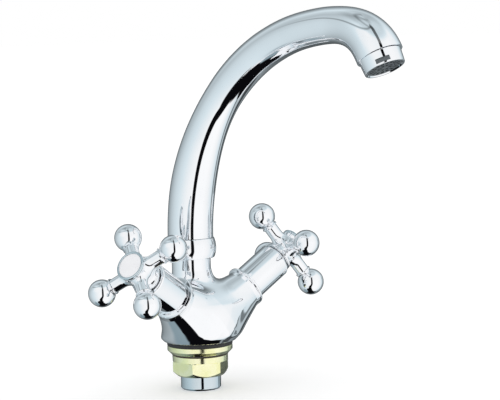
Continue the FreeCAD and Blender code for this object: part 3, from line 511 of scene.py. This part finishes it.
bonnet = {"radius": 11.6, "bottom": 39.1, "shoulder": 67.4, "round": 3.2, "step": 8.2, "top": 70.2, "hole": 4.6,
          "wall": 1.1, "roof": 1.6}


def makeBonnet(side, name):
    b = bonnet
    radius, bottom, shoulder = b["radius"], b["bottom"], b["shoulder"]
    corners = [(radius - b["wall"], bottom), (radius - 0.3, bottom, 0.1), (radius, bottom + 0.4, 0.3),
               (radius, shoulder, b["round"]), (b["step"], shoulder, 0.25), (b["step"], b["top"], 0.35),
               (b["hole"], b["top"], 0.2), (b["hole"], shoulder - b["roof"]),
               (radius - b["wall"] - 1.5, shoulder - b["roof"]), (radius - b["wall"], shoulder - 2 * b["roof"])]
    install(turned(softened(corners, 8), 128), name + "BonnetSleeve", "chrome", "faucet_body",
            name + "_bonnet", sideFrame(side))


for side, name in sides:
    makeBonnet(side, name)
print("bonnets made")


# body casting

casting = {"baseRadius": 25.0, "baseHeight": 4.8, "waistHeight": 25.4, "waistWidth": 36.0, "waistDepth": 17.0,
           "waistForward": 8.0, "neckRadius": 12.9, "neckRoot": 20.0, "neckReach": 39.1, "neckStart": 6.0,
           "spoutNeck": 12.6, "skirtTop": 49.0, "neckTop": 56.0, "skirtBase": 19.0, "blend": 7.9,
           "rimRadius": 14.2, "rimWidth": 1.8, "rimBore": 11.66, "footHeight": 4.7, "footLow": 2.85,
           "voxel": 0.0008, "passes": 14, "stride": 0.8}


def softMin(a, b, k):
    h = np.clip(0.5 + 0.5 * (b - a) / k, 0, 1)
    return b + (a - b) * h - k * h * (1 - h)


def castingField(p):
    # distance in millimetres to the blended casting: fan, spout neck and two side necks
    c = casting
    x, y, z = p[:, 0], p[:, 1], p[:, 2]
    rise = np.clip((z - c["baseHeight"]) / (c["waistHeight"] - c["baseHeight"]), -0.2, 1.15)
    wide = c["baseRadius"] + (c["waistWidth"] - c["baseRadius"]) * rise
    deep = c["baseRadius"] + (c["waistDepth"] - c["baseRadius"]) * rise
    reach = np.sqrt((x / wide) ** 2 + ((y + c["waistForward"] * rise) / deep) ** 2)
    fan = (reach - 1) * deep * 0.9
    fan = -softMin(-fan, -(z - c["waistHeight"]), 3.0)
    climb = np.clip((z - c["baseHeight"] + 1) / (c["skirtTop"] - c["baseHeight"] + 1), 0, 1)
    skirt = np.hypot(x, y - stance["spoutBack"] * climb)
    skirt = skirt - (c["skirtBase"] + (c["spoutNeck"] - c["skirtBase"]) * climb)
    field = softMin(fan, np.maximum(skirt, z - c["neckTop"]), c["blend"])
    for side, _ in sides:
        inverse = np.array(sideFrame(side).inverted())
        q = ((p * mm) @ inverse[:3, :3].T + inverse[:3, 3]) / mm
        along = np.clip((q[:, 2] - c["neckStart"]) / (c["neckReach"] - 4.8 - c["neckStart"]), 0, 1)
        neck = np.hypot(q[:, 0], q[:, 1]) - (c["neckRoot"] + (c["neckRadius"] - c["neckRoot"]) * along)
        neck = np.maximum(neck, np.maximum(q[:, 2] - c["neckReach"] + 0.6, c["neckStart"] - 4 - q[:, 2]))
        field = softMin(field, neck, c["blend"])
    foot = (np.hypot(x, y) - c["baseRadius"] + c["footHeight"] - z) / sqrt(2)
    field = -softMin(-field, -foot, 0.8)
    return -softMin(-field, z - c["footLow"], 0.3)


def slopeOf(p, step=0.05):
    offsets = np.eye(3) * step
    return np.stack([(castingField(p + o) - castingField(p - o)) / (2 * step) for o in offsets], 1)


def roughCasting():
    # turned blanks for the fan, the spout neck and the side necks, in one mesh
    c = casting
    fan = turned([(0, c["baseHeight"] - 1), (c["baseRadius"], c["baseHeight"] - 1), (28, c["waistHeight"]),
                  (0, c["waistHeight"])], 48)
    fan.transform(Matrix.Translation((0, -0.006, 0)) @ Matrix.Diagonal((1.25, 0.8, 1, 1)))
    base = turned([(0, 4), (c["baseRadius"] - 1, 4), (c["skirtBase"], 20), (0, 20)], 48)
    stem = turned([(0, 6), (c["skirtBase"], 6), (c["spoutNeck"], c["skirtTop"]), (c["spoutNeck"], c["neckTop"]),
                   (0, c["neckTop"])], 48)
    stem.transform(Matrix.Translation((0, 0.004, 0)))
    blanks = [fan, base, stem]
    for side, _ in sides:
        end = c["neckReach"] - 0.6
        neck = turned([(0, 8), (15, 8), (c["neckRadius"], end - 4), (c["neckRadius"], end), (0, end)], 48)
        neck.transform(sideFrame(side))
        blanks.append(neck)
    return joined(blanks, "castingMesh")


def makeBody():
    c = casting
    piece = link(roughCasting(), "bodyCasting", "chrome")
    fill = piece.modifiers.new("fill", "REMESH")
    fill.mode, fill.voxel_size = "VOXEL", c["voxel"]
    settle(piece)
    points = np.zeros(len(piece.data.vertices) * 3)
    piece.data.vertices.foreach_get("co", points)
    points = points.reshape(-1, 3) / mm
    # walk the points of the filled blanks along the slope to where the field is zero
    for _ in range(c["passes"]):
        slope = slopeOf(points)
        size = np.maximum((slope ** 2).sum(1, keepdims=True), 0.05)
        move = castingField(points)[:, None] * slope / size
        length = np.linalg.norm(move, axis=1, keepdims=True)
        points -= move * np.minimum(1, c["stride"] / np.maximum(length, 1e-9))
    piece.data.vertices.foreach_set("co", (points * mm).ravel())
    piece.data.update()
    piece.data.shade_smooth()
    slope = slopeOf(points)
    slope /= np.linalg.norm(slope, axis=1, keepdims=True)
    piece.data.normals_split_custom_set_from_vertices(slope.tolist())
    rings = []
    for side, _ in sides:
        low, high = c["neckReach"] - c["rimWidth"], c["neckReach"]
        outline = [(c["rimBore"], low), (c["neckRadius"] - 0.2, low - 0.2), (c["neckRadius"] + 0.2, low, 0.2),
                   (c["rimRadius"], low + 0.1, 0.35), (c["rimRadius"], high, 0.6), (c["rimBore"], high, 0.1)]
        rim = turned(softened(outline), 128)
        rim.transform(sideFrame(side))
        rings.append(rim)
    rims = smoothFaces(link(joined(rings, "rimMesh"), "bodyRims", "chrome"))
    for made in (piece, rims):
        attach(made, "faucet_body")
        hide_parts("valve_body")
    return piece


bodyCasting = makeBody()
print("body made:", len(bodyCasting.data.polygons), "faces")


# spout

spout = {"foot": 14.7, "waist": 11.8, "crown": 11.2, "end": 14.2, "wall": 2.1, "rings": 180, "sides": 96,
         "route": [(0.0, 69.2), (0.0, 90.0), (9.2, 126.8), (33.4, 161.9), (57.9, 182.0), (79.4, 193.6),
                   (110.0, 204.0), (155.2, 205.3), (165.3, 185.3)]}


def spoutLine(s):
    data = bpy.data.curves.new("spoutLine", "CURVE")
    data.dimensions = "3D"
    line = data.splines.new("NURBS")
    line.points.add(len(s["route"]) - 1)
    for point, (forward, height) in zip(line.points, s["route"]):
        point.co = (0, (stance["spoutBack"] - forward) * mm, height * mm, 1)
    line.order_u = 4
    line.use_endpoint_u = True
    line.resolution_u = 40
    piece = bpy.data.objects.new("spoutTube", data)
    bpy.context.scene.collection.objects.link(piece)
    return piece


def makeSpout(s):
    # Geometry Nodes: a tube along the line whose radius runs foot, waist, crown, end
    tree = bpy.data.node_groups.new("taperedTube", "GeometryNodeTree")
    tree.interface.new_socket("Geometry", in_out="INPUT", socket_type="NodeSocketGeometry")
    sockets = {}
    for name in ("foot", "waist", "crown", "end"):
        sockets[name] = tree.interface.new_socket(name, in_out="INPUT", socket_type="NodeSocketFloat")
    for name in ("rings", "sides"):
        sockets[name] = tree.interface.new_socket(name, in_out="INPUT", socket_type="NodeSocketInt")
    tree.interface.new_socket("Geometry", in_out="OUTPUT", socket_type="NodeSocketGeometry")
    bench = Bench(tree)
    source, result = tree.nodes.new("NodeGroupInput"), tree.nodes.new("NodeGroupOutput")
    given = {name: Wire(tree, source.outputs[name]) for name in sockets}
    line = bench.add("GeometryNodeResampleCurve", None,
                     {"Curve": Wire(tree, source.outputs["Geometry"]), "Count": given["rings"]})
    share = bench.add("GeometryNodeSplineParameter")
    radius = (given["foot"] + (given["waist"] - given["foot"]) * share.smooth(0.097, 0.416)
              + (given["crown"] - given["waist"]) * share.smooth(0.416, 0.77)
              + (given["end"] - given["crown"]) * share.smooth(0.83, 1.0))
    upright = bench.add("GeometryNodeSetCurveNormal", None, {"Curve": line})
    circle = bench.add("GeometryNodeCurvePrimitiveCircle", None, {"Resolution": given["sides"], "Radius": mm})
    tube = bench.add("GeometryNodeCurveToMesh", None, {"Curve": upright, "Profile Curve": circle, "Scale": radius})
    deliver(bench, tube, "chrome", result)
    piece = spoutLine(s)
    modifier = piece.modifiers.new("taperedTube", "NODES")
    modifier.node_group = tree
    for name, socket in sockets.items():
        modifier[socket.identifier] = s[name]
    graph = bpy.context.evaluated_depsgraph_get()
    mesh = bpy.data.meshes.new_from_object(piece.evaluated_get(graph), depsgraph=graph)
    bpy.data.objects.remove(piece)
    return mesh


def outletFrame():
    (x0, z0), (x1, z1) = spout["route"][-2:]
    along = Vector((0, x0 - x1, z1 - z0)).normalized()
    across = Vector((1, 0, 0))
    turn = Matrix((across, along.cross(across), along)).transposed().to_4x4()
    return spoutFrame(0) @ Matrix.Translation(Vector((0, -x1, z1)) * mm) @ turn


def makeSpoutPiece():
    piece = link(makeSpout(spout), "gooseNeck", "chrome")
    wall = piece.modifiers.new("wall", "SOLIDIFY")
    wall.thickness, wall.offset = spout["wall"] * mm, -1
    smoothFaces(settle(piece), 40)
    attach(piece, "spout_assembly")
    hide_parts("spout")


makeSpoutPiece()
print("spout made")


# collar, outlet and the pieces under the deck

def cutAway(piece, tool, merge=2e-6):
    # take the tool out of the piece, then clear the slivers that the cut leaves
    cut = piece.modifiers.new("cut", "BOOLEAN")
    cut.operation, cut.solver, cut.object = "DIFFERENCE", "EXACT", tool
    settle(piece)
    bpy.data.objects.remove(tool)
    clean = bmesh.new()
    clean.from_mesh(piece.data)
    bmesh.ops.remove_doubles(clean, verts=clean.verts, dist=merge)
    bmesh.ops.dissolve_degenerate(clean, edges=clean.edges, dist=merge)
    clean.to_mesh(piece.data)
    clean.free()


collar = {"bottom": 56.0, "top": 69.0, "end": 15.1, "belly": 16.4, "thread": 12.15, "hole": 10.15, "lip": 3.9}


def makeCollar(c):
    half = (c["top"] - c["bottom"]) / 2
    rise = c["belly"] - c["end"]
    radius = (half ** 2 + rise ** 2) / (2 * rise)
    outline = [(c["thread"], c["bottom"]), (c["end"] - 0.5, c["bottom"], 0.1)]
    for share in np.linspace(-0.94, 0.94, 25):
        bulge = sqrt(radius ** 2 - (half * share) ** 2)
        outline.append((c["belly"] - radius + bulge, c["bottom"] + half * (1 + share)))
    outline += [(c["end"] - 0.5, c["top"], 0.1), (c["hole"], c["top"]), (c["hole"], c["top"] - c["lip"]),
                (c["thread"], c["top"] - c["lip"])]
    install(turned(softened(outline), 160), "collarShell", "chrome", "faucet_body", "spout_collar", spoutFrame())


outlet = {"sleeve": 13.0, "mouth": 12.45, "length": 8.6, "thread": 11.6, "threadLength": 6.0, "bore": 10.6,
          "lip": 11.4, "notchWidth": 8.8, "notchHeight": 2.8, "notchFloor": 11.1, "notchUp": 1.1,
          "notchTurn": 137.6, "shadePlate": 0.2, "toolDepth": 4.0}


def block(width, depth, height, centre):
    box = bmesh.new()
    bmesh.ops.create_cube(box, size=1.0)
    mesh = finished(box, "block", False)
    size = Matrix.Diagonal((width * mm, depth * mm, height * mm, 1))
    mesh.transform(Matrix.Translation(Vector(centre) * mm) @ size)
    return mesh


def makeSleeve(o):
    end = o["length"]
    outline = [(o["bore"], -o["threadLength"]), (o["thread"], -o["threadLength"], 0.3), (o["thread"], 0),
               (o["sleeve"], 0.0, 0.35), (o["mouth"] + (o["sleeve"] - o["mouth"]) * 0.3, end * 0.7),
               (o["mouth"] - 0.1, end, 0.35), (o["lip"], end, 0.3), (o["bore"], end - 0.7)]
    piece = link(turned(softened(outline), 192), "aeratorSleeve", "chrome")
    width, height, middle = o["notchWidth"], o["notchHeight"], end - o["notchUp"] - o["notchHeight"] / 2
    shadePlates = []
    # two notches for a spanner, each with a dark plate on its floor that paints the shade and dark reflection of
    # the recess
    for face in (0, 180):
        turn = Matrix.Rotation(radians(o["notchTurn"] + 90 + face), 4, "Z")
        tool = block(width, o["toolDepth"], height, (0, -o["notchFloor"] - o["toolDepth"] / 2, middle))
        tool.transform(turn)
        cutAway(piece, link(tool, "notchTool", "chrome"))
        shadePlate = block(width - 0.1, o["shadePlate"], height - 0.1, (0, -o["notchFloor"] - 0.08, middle))
        shadePlate.transform(turn)
        shadePlates.append(shadePlate)
    install(joined(shadePlates, "notchPlates"), "notchShades", "acetal", "spout_assembly", "aerator_insert",
            outletFrame())
    piece.data.transform(outletFrame())
    coat(piece, finishes["chrome"])
    smoothFaces(piece, 30)
    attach(piece, "spout_assembly")
    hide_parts("aerator_housing")


grid = {"rim": 10.55, "wall": 1.1, "top": 7.95, "thickness": 1.2, "length": 8.0, "hub": 2.0, "middle": 5.0,
        "rib": 0.8, "inner": 8, "outer": 16, "open": 0.62, "screenNear": 5.6, "screenFar": 6.2}


def ringRow(mesh, angles, radii, height):
    # the points of one level, in millimetres
    return [mesh.verts.new((radius * mm * cos(angle), radius * mm * sin(angle), height * mm))
            for angle, radius in zip(angles, radii)]


def ribMesh(low, high, angle, bottom, top):
    # a thin sector across a ring of slots
    mesh = bmesh.new()
    angles = [angle * (k / 4 - 0.5) for k in range(5)]
    rows = [ringRow(mesh, angles, [radius] * 5, height) for height in (bottom, top) for radius in (low, high)]
    lowIn, lowOut, highIn, highOut = rows
    for first, second in ((lowIn, lowOut), (lowOut, highOut), (highOut, highIn), (highIn, lowIn)):
        for k in range(4):
            mesh.faces.new((first[k], first[k + 1], second[k + 1], second[k]))
    for k in (0, 4):
        mesh.faces.new((lowIn[k], lowOut[k], highOut[k], highIn[k]))
    return finished(mesh, "rib")


def makeGrid(g):
    # rim, middle ring, hub and the screen behind them, with two rounds of ribs
    top, bottom = g["top"], g["top"] - g["thickness"]
    edge, outside = g["rim"] - g["wall"], g["middle"] + g["rib"]
    near, far = top - g["screenNear"], top - g["screenFar"]
    rim = [(edge, top - g["length"]), (g["rim"], top - g["length"]), (g["rim"], top, 0.2),
           (edge + 0.1, top, 0.15), (edge + 0.1, bottom), (edge, bottom)]
    ring = [(g["middle"], bottom), (outside, bottom), (outside, top, 0.15), (g["middle"], top, 0.15)]
    hub = [(0, bottom), (g["hub"], bottom), (g["hub"], top + 0.15, 0.3), (0, top + 0.15)]
    screen = [(0, far), (edge + 0.2, far), (edge + 0.2, near), (0, near)]
    parts = [turned(softened(outline), segments)
             for outline, segments in ((rim, 96), (ring, 72), (hub, 48), (screen, 48))]
    for low, high, count in ((g["hub"] - 0.1, g["middle"] + 0.1, g["inner"]),
                             (outside - 0.1, edge + 0.2, g["outer"])):
        angle = 2 * pi / count * (1 - g["open"])
        rib = link(ribMesh(low, high, angle, bottom + 0.1, top - 0.1), "gridRibs", "acetal")
        rib = repeatRound(rib, count, "acetal")
        parts.append(rib.data)
        bpy.data.objects.remove(rib)
    install(joined(parts, "gridMesh"), "outletGrid", "acetal", "spout_assembly", "aerator_insert", outletFrame())


nut = {"flats": 31.8, "top": -6.0, "height": 13.7, "bore": 13.25, "band": 4.4, "bandRadius": 18.0, "turns": 192,
       "coneInset": 0.9, "coneRise": 1.15, "bandDraft": 0.02, "bandRound": 0.7}


def makeNut(n):
    # a hexagon cut back by a cone below, under a round turned band
    bottom, step = n["top"] - n["height"], n["top"] - n["band"]
    heights = [bottom, bottom + 0.05, *np.linspace(bottom + 0.3, step - 0.5, 40),
               *np.linspace(step - 0.35, step + 0.35, 8), *np.linspace(step + 0.5, n["top"], 14)]
    angles = np.arange(n["turns"]) * 2 * pi / n["turns"]
    folded = np.abs(((angles + pi / 6) % (pi / 3)) - pi / 6)
    hexagon = n["flats"] / 2 / np.cos(folded)
    bore = np.full_like(angles, n["bore"])
    mesh = bmesh.new()
    rings = [ringRow(mesh, angles, bore, bottom)]
    for height in heights:
        cone = n["flats"] / 2 - n["coneInset"] + (height - bottom) * n["coneRise"]
        hexSide = softMin(hexagon, np.full_like(hexagon, cone), 0.5)
        rounding = max(0.0, height - n["top"] + n["bandRound"]) ** 2 * 1.4
        band = n["bandRadius"] - n["bandDraft"] * (n["top"] - height) - rounding
        share = np.clip((height - step) / 0.5 + 0.5, 0, 1)
        rings.append(ringRow(mesh, angles, hexSide * (1 - share) + band * share, height))
    rings.append(ringRow(mesh, angles, bore, n["top"]))
    for low, high in zip(rings, rings[1:] + rings[:1]):
        for k in range(n["turns"]):
            follow = (k + 1) % n["turns"]
            mesh.faces.new((low[k], low[follow], high[follow], high[k]))
    install(finished(mesh, "nutMesh"), "clampNut", "brass", "faucet_body", "lock_nut", angle=24)


flange = {"bore": 13.5, "radius": 21.1, "top": 0.0, "bottom": -5.2, "bevelTop": -3.0, "bevelRadius": 18.9}
gasket = {"bore": 16.4, "radius": 21.1, "bulge": 21.25, "third": 1.4, "top": 4.2}
fibre = {"bore": 13.5, "radius": 18.4, "bottom": -6.0, "top": -5.2}


def makeRings(w, g, f):
    # flange washer, gasket and fibre washer
    outline = [(w["bore"], w["top"]), (w["radius"] - 0.2, w["top"], 0.3), (w["radius"], w["top"] - 0.8, 0.5),
               (w["radius"], w["bevelTop"], 0.9), (w["bevelRadius"], w["bottom"], 0.5), (w["bore"], w["bottom"])]
    install(turned(softened(outline), 128), "flangeWasher", "brass", "faucet_body", "clamp_washer")
    outline = [(g["bore"], 0, 0.3), (g["radius"], 0, 0.6), (g["bulge"], g["third"], 1.5),
               (g["radius"], 2 * g["third"], 0.6), (g["radius"] - 0.2, g["top"]), (g["bore"], g["top"])]
    install(turned(softened(outline), 128), "rubberGasket", "rubber", "faucet_body", "base_gasket")
    outline = [(f["bore"], f["bottom"]), (f["radius"], f["bottom"], 0.2), (f["radius"], f["top"], 0.2),
               (f["bore"], f["top"])]
    install(turned(softened(outline), 96), "fibreRing", "fibre", "faucet_body", "fibre_washer")


shank = {"thread": 13.2, "top": 12.8, "threadEnd": -20.1, "lead": 13.0, "bottom": -28.7, "chamfer": 1.2,
         "boreSide": 6.2, "mouth": 4.9, "inlet": 4.5, "inletEnd": -16.7, "channel": 3.2, "channelEnd": 11.0}


def makeShank(s):
    # the threaded tube with its lead and the two hose bores
    low = s["bottom"]
    outline = [(0, low), (s["lead"] - s["chamfer"], low, 0.4), (s["lead"], low + s["chamfer"], 0.5),
               (s["lead"], s["threadEnd"]), (s["thread"], s["threadEnd"]), (s["thread"], s["top"]), (0, s["top"])]
    piece = link(turned(softened(outline), 160), "deckShank", "chrome")
    for side, _ in sides:
        bore = [(0, low - 1.3), (s["mouth"], low - 1.3), (s["mouth"], low + 0.3), (s["inlet"], low + 0.7),
                (s["inlet"], s["inletEnd"]), (s["channel"], s["inletEnd"] + 0.5),
                (s["channel"], s["channelEnd"]), (0, s["channelEnd"])]
        tool = turned(softened(bore), 64)
        tool.transform(Matrix.Translation((side * s["boreSide"] * mm, 0, 0)))
        cutAway(piece, link(tool, "boreTool", "chrome"))
    coat(piece, greyChrome)
    smoothFaces(piece, 30)
    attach(piece, "faucet_body")
    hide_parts("shank")


makeCollar(collar)
makeSleeve(outlet)
makeGrid(grid)
makeNut(nut)
makeRings(flange, gasket, fibre)
makeShank(shank)
print("collar, outlet and underside made")


# studio

studio = {"floor": -28.7, "floorSize": 12.0, "floorTone": 0.93, "floorGlow": 0.15}


def makeStudio(s):
    # an even white world, and a pale floor that mirrors don't see
    world = bpy.data.worlds.new("whiteStudio")
    bpy.context.scene.world = world
    world.use_nodes = True
    background = world.node_tree.nodes["Background"]
    background.inputs["Color"].default_value = (1, 1, 1, 1)
    background.inputs["Strength"].default_value = 1.0

    material = bpy.data.materials.new("paleFloor")
    material.use_nodes = True
    tree = material.node_tree
    bench = Bench(tree)
    shader = tree.nodes["Principled BSDF"]
    shader.inputs["Base Color"].default_value = (*[s["floorTone"]] * 3, 1)
    shader.inputs["Roughness"].default_value = 0.9
    shader.inputs["Specular IOR Level"].default_value = 0.0
    shader.inputs["Emission Color"].default_value = (1, 1, 1, 1)
    path = tree.nodes.new("ShaderNodeLightPath")
    bench.feed(shader, "Emission Strength", Wire(tree, path.outputs["Is Camera Ray"]) * s["floorGlow"])
    mesh = bpy.data.meshes.new("floor")
    corners = [(x * s["floorSize"], y * s["floorSize"], s["floor"] * mm)
               for x, y in ((-1, -1), (1, -1), (1, 1), (-1, 1))]
    mesh.from_pydata(corners, [], [(0, 1, 2, 3)])
    floor = bpy.data.objects.new("floor", mesh)
    floor.data.materials.append(material)
    floor.visible_glossy = False
    bpy.context.scene.collection.objects.link(floor)


makeStudio(studio)


tent = {"radius": 3.0, "height": 0.08, "dark": (0.003, 0.003, 0.004), "tint": (0.86, 0.985, 1.04),
        "slate": (0.22, 0.30, 0.34),
        # painted reflection brightness against azimuth from the camera, near the horizon and above it
        "low": [(-180, 0.10), (-166, 0.14), (-152, 0.27), (-132, 0.42), (-110, 0.58), (-90, 0.71), (-70, 0.80),
                (-50, 0.87), (-28, 0.93), (0, 0.97), (25, 1.0), (62, 1.0), (90, 0.93), (112, 0.83), (130, 0.56),
                (150, 0.34), (166, 0.14), (180, 0.10)],
        "high": [(-180, 0.74), (-152, 0.88), (-132, 0.68), (-112, 0.53), (-92, 0.68), (-70, 0.90), (-40, 0.95),
                 (0, 0.92), (30, 0.95), (62, 0.97), (105, 0.92), (130, 0.78), (152, 0.68), (180, 0.74)],
        # how far below the horizon the painted dark floor reflection starts
        "floor": [(-180, 56), (-146, 57), (-134, 73), (-86, 73), (-64, 58), (-30, 53), (4, 52), (22, 64), (36, 75),
                  (104, 75), (124, 58), (180, 55)]}


def within(angle, low, high, soft):
    return angle.smooth(low - soft, low + soft) * (1 - angle.smooth(high - soft, high + soft))


def around(bench, degrees, stops, scale=1.0):
    # a grey ramp over the full turn of azimuth
    marks = [((angle + 180) / 360, (value / scale, value / scale, value / scale, 1)) for angle, value in stops]
    return bench.add("ShaderNodeValToRGB", {"stops": marks}, {0: (degrees + 180) / 360}) * scale


def makeTent(t):
    # a painted reflection that only mirrors see and that lights nothing: white walls, a dark gap on the camera's
    # side, and a dark floor where the real floor is pale
    mesh = bmesh.new()
    bmesh.ops.create_uvsphere(mesh, u_segments=64, v_segments=32, radius=t["radius"])
    bmesh.ops.reverse_faces(mesh, faces=mesh.faces)
    shell = bpy.data.objects.new("lightTent", finished(mesh, "lightTent", False))
    flat = Vector((towardsCamera.x, towardsCamera.y, 0)).normalized()
    aside = flat.cross(Vector((0, 0, 1)))
    turn = Matrix((aside, flat, Vector((0, 0, 1)))).transposed().to_4x4()
    shell.matrix_world = Matrix.Translation((0, 0, t["height"])) @ turn
    material = bpy.data.materials.new("lightTent")
    material.use_nodes = True
    tree = material.node_tree
    bench = Bench(tree)
    # directions in degrees: azimuth from the camera, and up from the horizon
    place = bench.add("ShaderNodeVectorMath", {"operation": "NORMALIZE"},
                      {0: bench.add("ShaderNodeTexCoord", output=3)})
    x, y, z = (bench.add("ShaderNodeSeparateXYZ", None, {0: place}, i) for i in range(3))
    azimuth = bench.add("ShaderNodeMath", {"operation": "ARCTAN2"}, {0: x * -1, 1: y}) * (180 / pi)
    up = bench.add("ShaderNodeMath", {"operation": "ARCSINE"}, {0: z}) * (180 / pi)
    high = up.smooth(2, 28)
    tone = around(bench, azimuth, t["low"]) * (1 - high) + around(bench, azimuth, t["high"]) * high
    # painted darker bands in the reflection: an arc high up and a slanted ridge near the top
    arc = within(up, 69, 75, 3) * (1 - azimuth.smooth(15, 30))
    ridge = within(up - azimuth * 0.47, 77, 82, 3) * within(azimuth, -104, 4, 12)
    tone = tone * (1 - up.smooth(48, 64) * 0.26) * (1 - arc * 0.4)
    tone = tone * (1 - up.smooth(80, 88) * 0.3) * (1 - ridge * 0.6)
    # what is mirrored from behind the part is painted dim, which draws the dark edges
    tone = tone.atMost(1 - (y * -1).smooth(0.35, 0.95) * 0.82)
    tint = bench.blend(tone.smooth(0.78, 0.98), (*t["tint"], 1), (1.0, 1.0, 1.0, 1))
    colour = bench.add("ShaderNodeVectorMath", {"operation": "SCALE"}, {0: tint, "Scale": tone})
    # a painted slate-blue reflection low on one side
    patch = azimuth.smooth(-150, -138) * (1 - azimuth.smooth(-90, -74)) * (1 - up.smooth(-56, -44))
    colour = bench.blend(patch * 0.9, colour, (*t["slate"], 1))
    # painted dark reflections: a dark floor below where the real floor is pale, the gap on the camera's side, a
    # dark stripe and a shade beside it
    floor = (around(bench, azimuth, t["floor"], 90.0) * -1 - up).smooth(-2.0, 2.0)
    sag = 1 - up.smooth(-48, -14)
    crest = up.smooth(44, 80) * 16
    gap = (azimuth - 2.5 + sag * 27 + crest).smooth(-1.0, 1.0) * (1 - (azimuth - 17.0 + sag * 9).smooth(-1.0, 1.0))
    gap = gap * (1 - up.smooth(44, 48) * 0.2) * (1 - up.smooth(76, 84))
    paintedStripe = within(azimuth, 119, 127, 1.5) * (1 - up.smooth(2, 22)) * 0.7
    shade = within(azimuth, 138, 152, 2) * within(up, -55, -10, 3) * 0.85
    colour = bench.blend(floor.atLeast(gap).atLeast(paintedStripe).atLeast(shade), colour, (*t["dark"], 1))
    glow = tree.nodes.new("ShaderNodeEmission")
    bench.feed(glow, "Color", colour)
    tree.links.new(glow.outputs[0], tree.nodes["Material Output"].inputs["Surface"])
    shell.data.materials.append(material)
    bpy.context.scene.collection.objects.link(shell)
    for kind in ("camera", "diffuse", "transmission", "volume_scatter", "shadow"):
        setattr(shell, "visible_" + kind, False)


makeTent(tent)
print("studio set")
